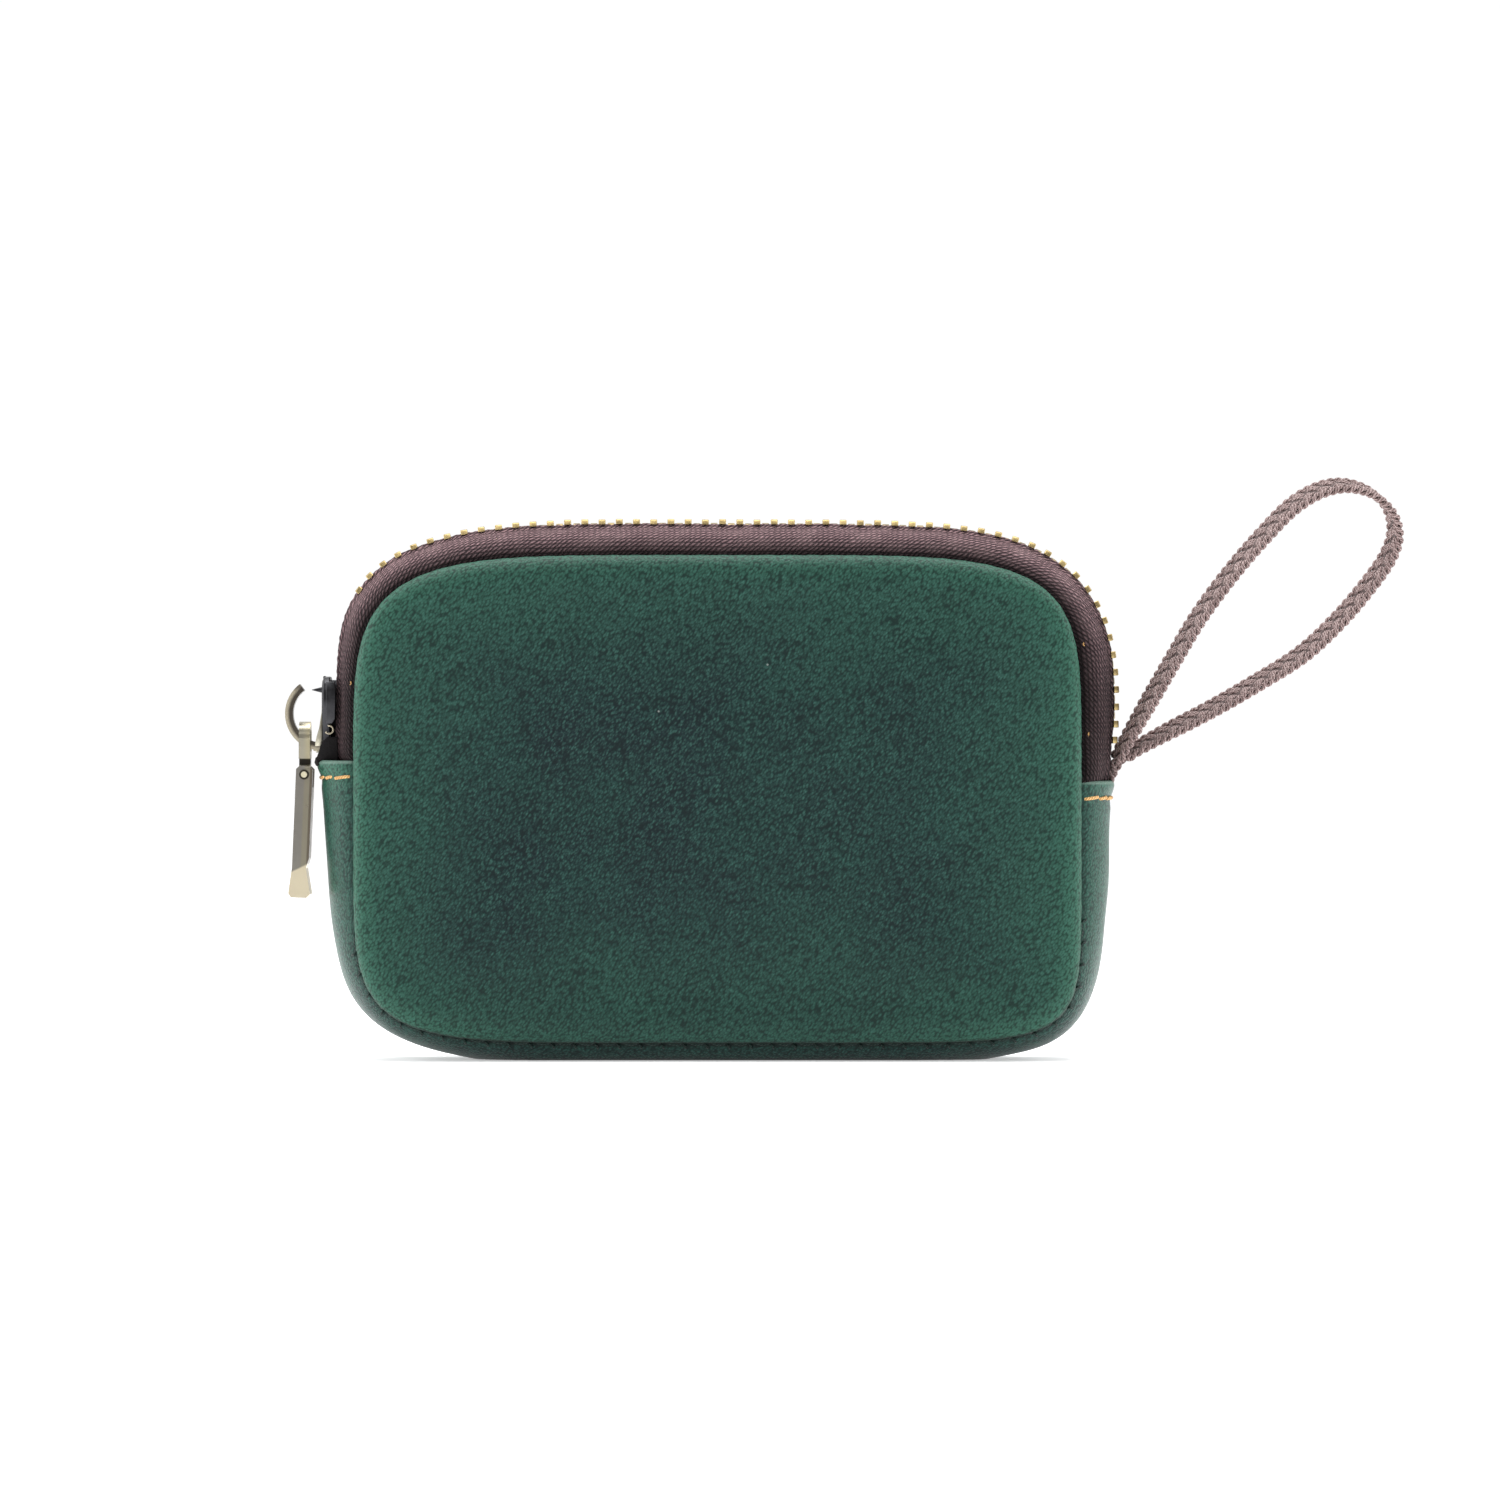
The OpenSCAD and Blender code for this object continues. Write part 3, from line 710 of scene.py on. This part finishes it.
def panel(name, seed):
    """Domed front panel as one closed mesh: outer face, rolled edge and inner face."""
    count = 520
    t, girth = even(0, 360, count)
    t = t[:-1]
    s = np.arange(count) / count * girth
    out = across(t)
    base = seam(t) - out * 0.3
    h = np.sum((base - MIDDLE) * out, -1)
    low = 1 / (1 + np.exp((base[:, 1] - 44) / 2))
    # low_line: where painted shade darkens the seam, along the bottom only.
    low_line = 0.9 / (1 + np.exp((base[:, 1] - 9) / 2))
    pucker = (0.03 + 0.02 * low) * np.cos(TAU * s / STITCH_PITCH)
    loops, edge, painted_shade, uv = [], [], [], []

    def add(p2, y, e, edge_highlight=1.0):
        """One loop of points at distance e from the edge."""
        loops.append(place(p2, y))
        x, z = p2.T
        # Painted edge highlight, with less of it near the base as painted shade and a little less
        # along the top.
        fade = (0.6 * np.exp(-((z - 2) / 9) ** 2 - (x / 40) ** 4)
                + 0.3 * np.exp(-((z - 76) / 10) ** 2 - (x / 45) ** 4))
        edge.append(edge_highlight * (1 - fade))
        painted_shade.append(low_line * math.exp(-((np.mean(e) / 0.22) ** 2)))
        uv.append(p2)

    ks = [0.02, 0.1, 0.2, 0.3, 0.4, 0.5, 0.58, 0.66, 0.73, 0.79, 0.84]
    es = [5.2, 4.6, 4.1, 3.7, 3.3, 2.9, 2.5, 2.15, 1.8, 1.5, 1.2, 0.95, 0.7, 0.5, 0.34, 0.2, 0.1,
          0.03]

    def soft(p2):
        """Slow unevenness of the leather."""
        x, z = p2.T
        return (0.16 * np.sin(x / 17 + seed) * np.sin(z / 13 + 2 * seed)
                + 0.07 * np.sin(x / 7.3 + 1.3 * seed + z / 9.1))

    for k in ks:
        p2 = MIDDLE + (base - MIDDLE) * k
        y = -SEAM_Y - rise_at(k) + soft(p2) * min(1, k * 4)
        add(p2, y, h * (1 - k), edge_highlight_share(h * (1 - k)))
    for e in es:
        p2 = toward_middle(base, e, h)
        fade = min(1, e / 3.5)
        y = -SEAM_Y - 0.3 - (CROWN - 0.3) * dome(e, h)
        y += soft(p2) * fade + pucker * (1 - fade)
        add(p2, y, e, edge_highlight_share(e))
    rim = base + out * (0.06 + pucker[:, None])
    add(rim, -SEAM_Y - 0.12, 0)
    add(base - out * 0.12, -SEAM_Y + 0.05, 0)
    add(base - out * 0.7, -SEAM_Y + 0.08, 0)
    for e in (1.6, 2.4, 3.4, 5.0):
        y = -SEAM_Y - np.maximum(0, CROWN * dome(e, h) - PANEL_THICK)
        add(toward_middle(base, e, h), y, e, 0)
    for k in (0.8, 0.5, 0.2):
        add(MIDDLE + (base - MIDDLE) * k, -SEAM_Y - rise_at(k) + PANEL_THICK, 9, 0)
    verts = np.concatenate(loops)
    obj = new_mesh(name, verts, loops_faces(len(loops), count), np.concatenate(uv))
    face_out(obj)
    paint(obj, "edge", np.concatenate(edge))
    paint(obj, "painted_shade", np.concatenate(painted_shade))
    return dress(obj, LEATHER)


def fold_blend(obj):
    """Bake obj's placement into its mesh."""
    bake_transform(obj)


front = panel("front_leather", 0.6)
back = moved_to_back(panel("back_panel", 2.1), "back_leather")
for obj, side in ((front, "front"), (back, "back")):
    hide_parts(side + "_panel_lower", side + "_panel_upper")
    fold_blend(obj)

# -------------------- gusset

def gusset():
    """Leather band under the base and up both sides to a hem."""
    t, length = even(*GUSSET_SPAN, 620)
    s = np.linspace(0, length, len(t))
    deg = np.degrees(t)
    reach = smooth_lookup(deg, GUSSET_REACH)
    y = np.sin(np.linspace(-math.pi / 2, math.pi / 2, 49)) * BAND_Y
    rim = np.minimum(s, length - s)
    flare = 0.25 * np.exp(-(rim / 1.2) ** 2) - 0.22 * np.exp(-((rim - 2.2) / 0.9) ** 2)
    aside = np.abs(y[None]) / BAND_Y
    d = bulge(reach[:, None], y[None]) + flare[:, None] * (1 - aside ** 4)
    d += ripple(s[:, None] + 0.8 * y[None], 1.0, (31, 0.1), (13, 0.05)) * (1 - aside ** 2)
    d += 0.05 * np.cos(TAU * s / STITCH_PITCH)[:, None] * aside ** 12
    p2 = stand_off(t, d)
    p2[..., 1] = np.maximum(p2[..., 1], 0)
    p = place(p2, y[None])
    uv = np.stack(np.broadcast_arrays(s[:, None], y[None]), -1)
    obj = slab("gusset_leather", p, band_normals(p, t), BAND_THICK, uv)
    co = np.array([v.co for v in obj.data.vertices]) / MM
    # Painted highlight: lighter green a little everywhere above the base, more at the hems and on
    # the sides that turn away from the front.
    hem = np.exp(-((co[:, 2] - 43.5) / 2.2) ** 2) * (np.abs(co[:, 0]) > 50)
    side = np.clip((np.abs(co[:, 0] - CX) - 53) / 5, 0, 1)
    paint(obj, "edge", np.clip(0.1 + 0.45 * hem + 0.45 * side, 0, 1) * (co[:, 2] > 2) + 0.05)
    lip = np.where(co[:, 0] < 0, 44.05, 40.95)
    paint(obj, "cut", np.clip((co[:, 2] - lip - 0.5) / 0.15, 0, 1) * 0.5)
    # Painted shade: dark in the seam groove, strongest low down, and along the base where it meets
    # the floor.
    low = 1 / (1 + np.exp((co[:, 2] - 12) / 3))
    seam_shade = np.clip((np.abs(co[:, 1]) - 8.75) / 0.35, 0, 1) * (0.3 + 0.65 * low)
    paint(obj, "painted_shade", np.maximum(seam_shade, np.clip((0.7 - co[:, 2]) / 0.7, 0, 1) * 0.75))
    return dress(obj, BAND_LEATHER)


band = gusset()
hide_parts("gusset_band")
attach(band, "pouch")

# -------------------- zip tape and teeth

def tape(name, seed):
    """Front zip tape, from one hem to the other; both ends tuck under the hems."""
    t, length = even(*TAPE_SPAN, 900)
    s = np.linspace(0, length, len(t))
    deg = np.degrees(t)
    reach = smooth_lookup(deg, TAPE_REACH)
    gap = smooth_lookup(deg, ROW_GAP) + 1.05
    k = np.linspace(0, 1, 30)
    y = -BAND_Y + (BAND_Y - gap[:, None]) * k[None]
    d = bulge(reach[:, None], y, TAPE_FALL)
    d += 0.6 * np.exp(-((k[None] - 0.86) / 0.09) ** 2)
    d += (0.05 * np.cos(TAU * s / 0.93) + 0.05 * np.cos(TAU * s / 1.47))[:, None] * k[None] ** 3
    d += ripple(s[:, None] + 2 * k[None], seed, (23, 0.06), (9, 0.035))
    tuck = 1 / (1 + np.exp((deg - 2.2) / 0.35)) + 1 / (1 + np.exp((174.3 - deg) / 0.35))
    d -= 1.9 * tuck[:, None]
    p = place(stand_off(t, d), y)
    steps = np.linalg.norm(np.diff(p, axis=1), axis=2)
    arc = np.concatenate([np.zeros((len(t), 1)), np.cumsum(steps, axis=1)], 1)
    uv = np.stack([np.broadcast_to(s[:, None], arc.shape), arc], -1)
    obj = slab(name, p, band_normals(p, t), TAPE_THICK, uv)
    return dress(obj, TAPE)


front_tape = tape("front_zip_tape", 0.4)
back_tape = mirrored(front_tape, "back_zip_tape")
for obj, side in ((front_tape, "front"), (back_tape, "back")):
    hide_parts(side + "_tape", side + "_tape_ends")
    fold_blend(obj)


def chain_line():
    """Angles, points, lengths and half gaps along the line that the teeth follow."""
    t = np.radians(np.linspace(*CHAIN_SPAN, 4000))
    deg = np.degrees(t)
    p = seam(t) + across(t) * smooth_lookup(deg, TAPE_REACH)[:, None]
    return t, p, run_length(p), smooth_lookup(deg, ROW_GAP)


def tooth_shape(rise):
    """One brass tooth, clenched round the tape's edge: points in (out, y, along) and faces."""
    bm = bmesh.new()
    prof = [(0.5, 0.0), (0.6, -0.5), (0.62 + rise / 2, -1.0), (0.72 + rise, -1.6),
            (0.62 + rise, -2.5),
            (rise - 0.1, -2.95), (rise - 0.1, -2.2), (0.02, -1.1), (-0.82, -1.1), (-0.82, -2.4),
            (-0.95, -2.95),
            (-1.35, -2.5), (-1.45, -1.5), (-1.4, -0.55), (-1.25, 0.0)]
    solid(bm, [[(x, y, z) for x, y in prof] for z in (-0.52, 0.52)])
    bmesh.ops.recalc_face_normals(bm, faces=bm.faces)
    bmesh.ops.bevel(bm, geom=bm.edges[:], offset=0.14, segments=2, affect="EDGES", profile=0.6)
    bmesh.ops.triangulate(bm, faces=[f for f in bm.faces if len(f.verts) > 4])
    pts = np.array([v.co[:] for v in bm.verts])
    faces = [[v.index for v in f.verts] for f in bm.faces]
    bm.free()
    return pts, faces


def teeth_row(name, shift, rise):
    """Front row of teeth; the first one, past the end of the line, is the top stop."""
    t, p, s, gap = chain_line()
    pts, faces = tooth_shape(rise)
    parts = []
    stops = np.concatenate([[-1.6], np.arange(shift, s[-1], TOOTH_PITCH)])
    for i, at in enumerate(stops):
        c = np.array([np.interp(at, s, p[:, 0]), np.interp(at, s, p[:, 1])])
        if at < 0:
            c = p[0] + unit(p[0] - p[40]) * 2.4
        ti = np.interp(max(at, 0), s, t)
        o = across(np.array([ti]))[0]
        a = along(np.array([ti]))[0]
        g = np.interp(max(at, 0), s, gap)
        hidden = 1.25 * (c[0] < 0) / (1 + math.exp((c[1] - 68.5) / 0.9))
        tip = 0.03 * math.sin(i * 2.1) - hidden - 0.25 / (1 + math.exp((c[0] + 36) / 4))
        q2 = c + o * (pts[:, :1] + tip) + a * pts[:, 2:]
        parts.append((np.stack([q2[:, 0], pts[:, 1] - g, q2[:, 1]], -1), faces,
                      np.zeros((len(pts), 2))))
    obj = new_mesh(name, *join(parts))
    face_out(obj)
    return dress(obj, BRASS)


front_row = teeth_row("front_zip_teeth", 0.0, 0.5)
back_row = moved_to_back(teeth_row("back_row", TOOTH_PITCH / 2, 0.05), "back_zip_teeth")
for obj, side in ((front_row, "front"), (back_row, "back")):
    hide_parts(side + "_teeth", side + "_side_teeth", side + "_top_stop")
    fold_blend(obj)

# -------------------- linings

LINING_IN = PANEL_THICK + 0.1


def lining(name, sgn):
    """Cloth behind a panel: a thin closed sheet."""
    t, _ = even(0, 360, 160)
    t = t[:-1]
    base = seam(t)
    h = np.sum((base - MIDDLE) * across(t), -1)
    loops, uv = [], []
    ks = [0.1, 0.3, 0.5, 0.65, 0.78]
    es = [6.5, 5.6, 4.8, 4.1, 3.4]
    for extra in (0.0, CLOTH_THICK):
        run = []
        for k in ks:
            run.append((MIDDLE + (base - MIDDLE) * k, -SEAM_Y - rise_at(k) + LINING_IN + extra))
        for e in es:
            y = -SEAM_Y - CROWN * dome(e, h) + LINING_IN + extra
            run.append((toward_middle(base, e, h), y))
        if extra:
            run = run[::-1]
        for p2, y in run:
            wave = 0.12 * np.sin(p2[:, 0] / 4.1) * np.sin(p2[:, 1] / 5.3)
            loops.append(place(p2, y + wave * (extra > 0)))
            uv.append(p2)
    pts = np.concatenate(loops)
    pts[:, 1] *= sgn
    obj = new_mesh(name, pts, loops_faces(len(loops), len(t)), np.concatenate(uv))
    face_out(obj)
    return dress(obj, LINING)


for side, sgn in (("front", 1), ("back", -1)):
    obj = lining(side + "_lining", sgn)
    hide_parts(side + "_lining_lower", side + "_lining_upper")
    fold_blend(obj)


def gusset_lining():
    """Cloth inside the gusset, and its length."""
    t, length = even(*GUSSET_LINING_SPAN, 240)
    s = np.linspace(0, length, len(t))
    reach = smooth_lookup(np.degrees(t), GUSSET_REACH)
    y = np.linspace(-8, 8, 17)
    inset = BAND_THICK + 0.08
    d = bulge(reach[:, None], y[None]) - inset
    p2 = stand_off(t, d)
    p2[..., 1] = np.maximum(p2[..., 1], inset)
    p = place(p2, y[None])
    uv = np.stack(np.broadcast_arrays(s[:, None], y[None]), -1)
    obj = slab("gusset_lining_cloth", p, band_normals(p, t), CLOTH_THICK, uv)
    return dress(obj, LINING), length


obj, length = gusset_lining()
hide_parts("gusset_lining")
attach(obj, "pouch")

# -------------------- stitches

def stitch(a, b, out, r, rise):
    """A thread from a to b that dives into the leather at both ends."""
    u = np.linspace(0, 1, 9)
    lift = rise * np.sin(u * math.pi) ** 0.6 - 0.35 * (1 - np.sin(u * math.pi) ** 0.5)
    path = a[None] + (b - a)[None] * u[:, None] + out[None] * lift[:, None]
    return tube(path, np.cross(b - a, out), oval(10, r, r))


def seam_stitches(name, sgn):
    """Dark thread in the groove, with a short tick onto the gusset at each hole."""
    t, length = even(*STITCH_SPAN, 4000)
    s = np.linspace(0, length, len(t))
    parts = []
    y = sgn * (SEAM_Y - 0.1)
    for c in np.arange(1.8, length - 1.8, STITCH_PITCH):
        ta, tb, tm = (np.array([v]) for v in np.interp([c - 1.3, c + 1.3, c], s, t))
        o = place(across(tm), 0.0)[0]
        a = place(seam(ta) - across(ta) * 0.3, y)[0]
        b = place(seam(tb) - across(tb) * 0.3, y)[0]
        parts.append(stitch(a, b, o, 0.2, 0.18))
        hole = place(seam(tb) - across(tb) * 0.25, y)[0]
        tick = hole + o * 0.75 + place(along(tb), 0.0)[0] * 0.35 + np.array([0, -sgn * 0.35, 0])
        parts.append(stitch(hole, tick, np.array([0, sgn * 1.0, 0]), 0.16, 0.12))
    obj = new_mesh(name, *join(parts))
    return dress(obj, GREEN_THREAD)


for side, sgn in (("front", -1), ("back", 1)):
    obj = seam_stitches(side + "_stitches", sgn)
    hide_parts(side + "_seam_thread")
    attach(obj, "pouch")


HEM_STITCHES, HEM_PITCH = 8, 2.25


def hem_stitches(name, deg):
    """Gold stitches across the gusset at this angle of the outline."""
    t = np.radians([deg])
    reach = smooth_lookup(deg, GUSSET_REACH)
    parts = []
    for i in range(HEM_STITCHES):
        pts = []
        middle = (i - (HEM_STITCHES - 1) / 2) * HEM_PITCH
        for y, slant in ((middle - 1.0, -0.16), (middle + 1.0, 0.16)):
            sunk = 0.02 - 0.26 * (1 - (y / BAND_Y) ** 4)
            q = seam(t) + across(t) * (bulge(reach, y) + sunk) + along(t) * slant
            pts.append(place(q, y)[0])
        o = place(across(t), 0.0)[0]
        parts.append(stitch(pts[0], pts[1], o, 0.26, 0.22))
    obj = new_mesh(name, *join(parts))
    return dress(obj, GOLD_THREAD)


for side, deg in (("left", 176.6), ("right", 360.2)):
    obj = hem_stitches(side + "_hem_stitches", deg)
    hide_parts(side + "_hem_thread")
    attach(obj, "pouch")

# -------------------- slider and pull

def bm_object(name, bm, width, mat):
    """Finish a bmesh built in millimetres: bevelled sharp edges, material and slot."""
    bmesh.ops.remove_doubles(bm, verts=bm.verts, dist=1e-5)
    bmesh.ops.recalc_face_normals(bm, faces=bm.faces)
    sharp = [e for e in bm.edges
             if len(e.link_faces) == 2 and e.calc_face_angle(0) > math.radians(30)]
    bmesh.ops.bevel(bm, geom=sharp, offset=width, segments=3, affect="EDGES", profile=0.5,
                    clamp_overlap=True)
    bmesh.ops.scale(bm, vec=(MM, MM, MM), verts=bm.verts)
    mesh = bpy.data.meshes.new(name)
    bm.to_mesh(mesh)
    bm.free()
    mesh.polygons.foreach_set("use_smooth", [True] * len(mesh.polygons))
    return dress(add_object(name, mesh), mat)


# Tail end, outer face, depth and plate thickness of the slider
SLIDER_Z, SLIDER_X, SLIDER_H, PLATE = 46.2, -59.3, 6.3, 1.2


def plate_loop(x, shrink=0.0):
    """Slider plate outline: a rounded shoulder that narrows to the tail."""
    half = [(0, 0), (2.6, 0), (3.3, 0.5), (3.4, 2.8), (3.7, 4.4), (4.5, 6.0), (4.7, 7.2),
            (4.7, 9.2), (4.3, 10.6),
            (3.2, 11.4), (1.5, 11.6), (0, 11.6)]
    loop = half + [(-y, z) for y, z in half[-2:0:-1]]
    return [(x, y * (1 - shrink / 4.7), SLIDER_Z + 5.8 + (z - 5.8) * (1 - shrink / 5.8))
            for y, z in loop]


def slider():
    """Two plates, side rails, post and the hook that holds the lock spring."""
    bm = bmesh.new()
    solid(bm, [plate_loop(SLIDER_X + 0.02, 0.5), plate_loop(SLIDER_X + 0.3, 0.1),
               plate_loop(SLIDER_X + 0.5), plate_loop(SLIDER_X + PLATE)])
    inner = SLIDER_X + SLIDER_H
    solid(bm, [plate_loop(inner - PLATE), plate_loop(inner - 0.3), plate_loop(inner - 0.02, 0.4)])
    for side in (-1, 1):
        loops = []
        for z, y0, y1, x1 in ((50.6, 4.12, 4.6, -57.7), (51.4, 4.2, 4.78, -57.2),
                              (55.8, 4.2, 4.82, -57.1),
                              (57.0, 4.15, 4.6, -57.3)):
            loops.append([(-58.6, side * y0, z), (x1, side * y0, z), (x1, side * y1, z),
                          (-58.6, side * y1, z)])
        solid(bm, loops)
    post = [(-58.3, 0.75), (-54.4, 0.75), (-54.4, -0.75), (-58.3, -0.75)]
    solid(bm, [[(x, y * k, z) for x, y in post]
               for z, k in ((53.8, 0.5), (54.6, 1.0), (56.6, 1.0), (57.3, 0.6))])
    hook = [(-59.25, -0.8), (-58.85, -0.8), (-58.85, 0.8), (-59.25, 0.8)]
    solid(bm, [[(x, y, z) for x, y in hook] for z in (56.6, 57.9)])
    return bm_object("slider_shell", bm, 0.13, BLACKENED)


def foot():
    """Bright leaf under the crown, springing from the tail of the plate."""
    bm = bmesh.new()
    loops = []
    for z, x, w, t in ((46.3, -60.3, 1.0, 0.5), (46.9, -60.5, 1.15, 0.9), (47.7, -60.45, 1.25, 1.0),
                       (48.8, -60.2, 1.25, 0.8), (50.0, -59.85, 1.1, 0.45),
                       (52.4, -59.5, 0.9, 0.16),
                       (55.4, -59.42, 0.6, 0.1)):
        loops.append([(x, -w, z), (x + t, -w, z), (x + t, w, z), (x, w, z)])
    solid(bm, loops)
    return bm_object("crown_leaf", bm, 0.08, LEAF_METAL)


shell = slider()
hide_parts("slider_body")
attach(shell, "slider")
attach(foot(), "slider")


def zip_tail():
    """Folded end of the zip tapes, coloured near black as painted shade, that fills the gap under
    the slider.
    """
    bm = bmesh.new()
    upper = [(-58.07, 44.6), (-58.07, 51.3), (-56.6, 51.3), (-56.6, 44.6)]
    solid(bm, [[(x, y, z) for x, z in upper] for y in (-1.0, 1.0)])
    lower = [(-60.45, 44.8), (-60.3, 45.5), (-59.6, 46.1), (-58.2, 46.15), (-56.9, 46.9),
             (-56.4, 44.4), (-60.2, 44.3)]
    solid(bm, [[(-58.5 + (x + 58.5) * k, y, 45 + (z - 45) * k) for x, z in lower]
               for y, k in ((-3.6, 0.8), (-3.0, 1.0), (3.0, 1.0), (3.6, 0.8))])
    fold = [(-60.2, 45.2), (-59.75, 46.4), (-59.3, 48.0), (-58.4, 48.6), (-57.0, 48.7),
            (-56.8, 45.2)]
    for side in (-1, 1):
        solid(bm, [[(x, side * y, z) for x, z in fold] for y in (3.55, 3.95)])
    return bm_object("zip_tail", bm, 0.06, TAPE_END_SHADE)


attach(zip_tail(), "pouch")


THREAD_Y = 8.95


def stray_threads():
    """Loose bits of gold thread along the edge of the tape."""
    t, _ = even(*TAPE_SPAN, 900)
    p = seam(t)
    parts = []
    for side, z, slant in ((-1, 56.7, 0.5), (1, 62.3, 0.4), (1, 49.1, 0.2)):
        i = int(np.argmin(np.abs(p[:, 1] - z) + 100 * (p[:, 0] * side < 0)))
        out, run = across(t[i:i + 1])[0], along(t[i:i + 1])[0]
        reach = smooth_lookup(np.degrees(t[i]), TAPE_REACH)
        u = np.linspace(-1, 1, 9)[:, None]
        lift = bulge(reach, THREAD_Y, TAPE_FALL) + 0.15 + 0.3 * slant * u ** 2
        flat = p[i] + out * lift + run * u * 0.22
        path = np.concatenate([flat[:, :1], -THREAD_Y - 0.25 * slant * u, flat[:, 1:]], 1)
        parts.append(tube(path, np.array([0.0, 1.0, 0.0]), oval(8, 0.1, 0.1)))
    obj = new_mesh("stray_threads", *join(parts))
    return dress(obj, GOLD_THREAD)


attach(stray_threads(), "pouch")


def lug(name, y):
    """Bent wire eyelet on the side of the slider."""
    a = np.radians(np.linspace(-150, 110, 24))
    path = np.stack([-58.1 + 0.6 * np.cos(a), y + 0 * a, 49.75 + 0.6 * np.sin(a)], -1)
    obj = new_mesh(name, *tube(path, np.array([0.0, -1.0, 0.0]), oval(12, 0.15, 0.15)))
    face_out(obj)
    return dress(obj, ANTIQUE)


for side, y in (("front", -4.75), ("back", 4.75)):
    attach(lug("slider_lug_" + side, y), "slider")

for name, mat, width in (
    ("lock_pin", BLACKENED, 0.02), ("slider_crown", CROWN_METAL, 0.3),
    ("pull_link", LINK_METAL, 0.45),
    ("pull_tab", TAB_METAL, 0.45), ("pull_rivet", RIVET, 0.1), ("bottom_stop", BRASS, 0.2),
):
    o = nodes[name]
    o.data.materials.clear()
    o.data.materials.append(mat)
    bev = o.modifiers.new("edges", "BEVEL")
    bev.width = width * MM
    bev.segments = 3
    bev.limit_method = "ANGLE"
    bev.angle_limit = math.radians(35)
    bev.harden_normals = True

# -------------------- strap root

def root(start, heading, seed):
    """Short braided end that runs from a leg of the loop into the seam."""
    a, c = np.array(start), np.array([59.7, 0.0, 42.0])
    mid = a + np.array(heading) * 1.0
    u = np.linspace(0, 1, 20)[:, None]
    path = (1 - u) ** 2 * a + 2 * u * (1 - u) * mid + u ** 2 * c
    return braid(path, run_length(path) + seed, np.array([0.0, 1.0, 0.0]), 3, 3.9, 7.5, 0.3, 3,
                 0.4, 0.26, 0.62)


parts = [root(strap_line[0], (-0.5, 0, -0.8), 0.0), root(strap_line[-1], (-0.9, 0, -0.4), 1.3)]
stub = new_mesh("strap_root", *join([part[:3] for part in parts]))
# The strap root is painted darker all over, and darkest on its core.
paint(stub, "deep", np.clip(np.concatenate([part[3] for part in parts]) + 0.45, 0, 1))
dress(stub, STRAP)
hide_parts("strap_anchor")
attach(stub, "pouch")

# -------------------- stage and light

floor = add_object("floor", bpy.data.meshes.new("floor"))
floor.data.from_pydata([(-6, -6, 0), (6, -6, 0), (6, 6, 0), (-6, 6, 0)], [], [(0, 1, 2, 3)])
ft = Tree("floor")
ft.set(Base_Color=(0.93, 0.93, 0.94), Roughness=0.9, Specular_IOR_Level=0.1,
       Emission_Color=(1, 1, 1),
       Emission_Strength=0.42)
floor.data.materials.append(ft.mat)
floor.location.z = -0.00002


def studio():
    """White behind and above the object, dimmer from the camera's side."""
    world = bpy.data.worlds.new("world")
    world.use_nodes = True
    tree = world.node_tree
    tree.nodes.clear()

    def node(kind, **inputs):
        n = tree.nodes.new("ShaderNode" + kind)
        for k, v in inputs.items():
            socket = n.inputs[k.replace("_", " ")]
            if isinstance(v, bpy.types.NodeSocket):
                tree.links.new(v, socket)
            else:
                socket.default_value = v
        return n

    sep = node("SeparateXYZ", Vector=node("TexCoord").outputs["Generated"])
    dim = node("MapRange", Value=sep.outputs["Y"], From_Min=-0.75, From_Max=0.1, To_Min=0.2,
               To_Max=1.0)
    lit = node("Background", Color=(1, 1, 1, 1), Strength=dim.outputs[0])
    seen = node("Background", Color=(1, 1, 1, 1), Strength=1.02)
    mix = tree.nodes.new("ShaderNodeMixShader")
    tree.links.new(node("LightPath").outputs["Is Camera Ray"], mix.inputs[0])
    tree.links.new(lit.outputs[0], mix.inputs[1])
    tree.links.new(seen.outputs[0], mix.inputs[2])
    out = tree.nodes.new("ShaderNodeOutputWorld")
    tree.links.new(mix.outputs[0], out.inputs[0])
    scene.world = world


def softbox(name, where, aim, w, h, power, gloss=1.0):
    """Rectangular lamp at where, pointed at aim."""
    lamp = bpy.data.lights.new(name, "AREA")
    lamp.shape = "RECTANGLE"
    lamp.size, lamp.size_y = w, h
    lamp.energy = power
    lamp.specular_factor = gloss
    o = bpy.data.objects.new(name, lamp)
    o.location = where
    o.rotation_euler = (Vector(aim) - Vector(where)).to_track_quat("-Z", "Y").to_euler()
    scene.collection.objects.link(o)


studio()
softbox("top", (0, 0.1, 0.8), (0, 0, 0.04), 0.9, 0.6, 8, 0.18)
softbox("left", (-0.7, 0.15, 0.3), (0, 0, 0.04), 0.5, 0.6, 2.2)
softbox("right", (0.7, 0.15, 0.3), (0, 0, 0.04), 0.5, 0.6, 2.2)
softbox("front", (-0.5, -1.1, 0.9), (0, 0, 0.04), 0.6, 0.4, 2.5, 0.15)

scene.view_settings.view_transform = "Standard"
scene.view_settings.look = "None"
scene.view_settings.exposure = 0
scene.view_settings.gamma = 1
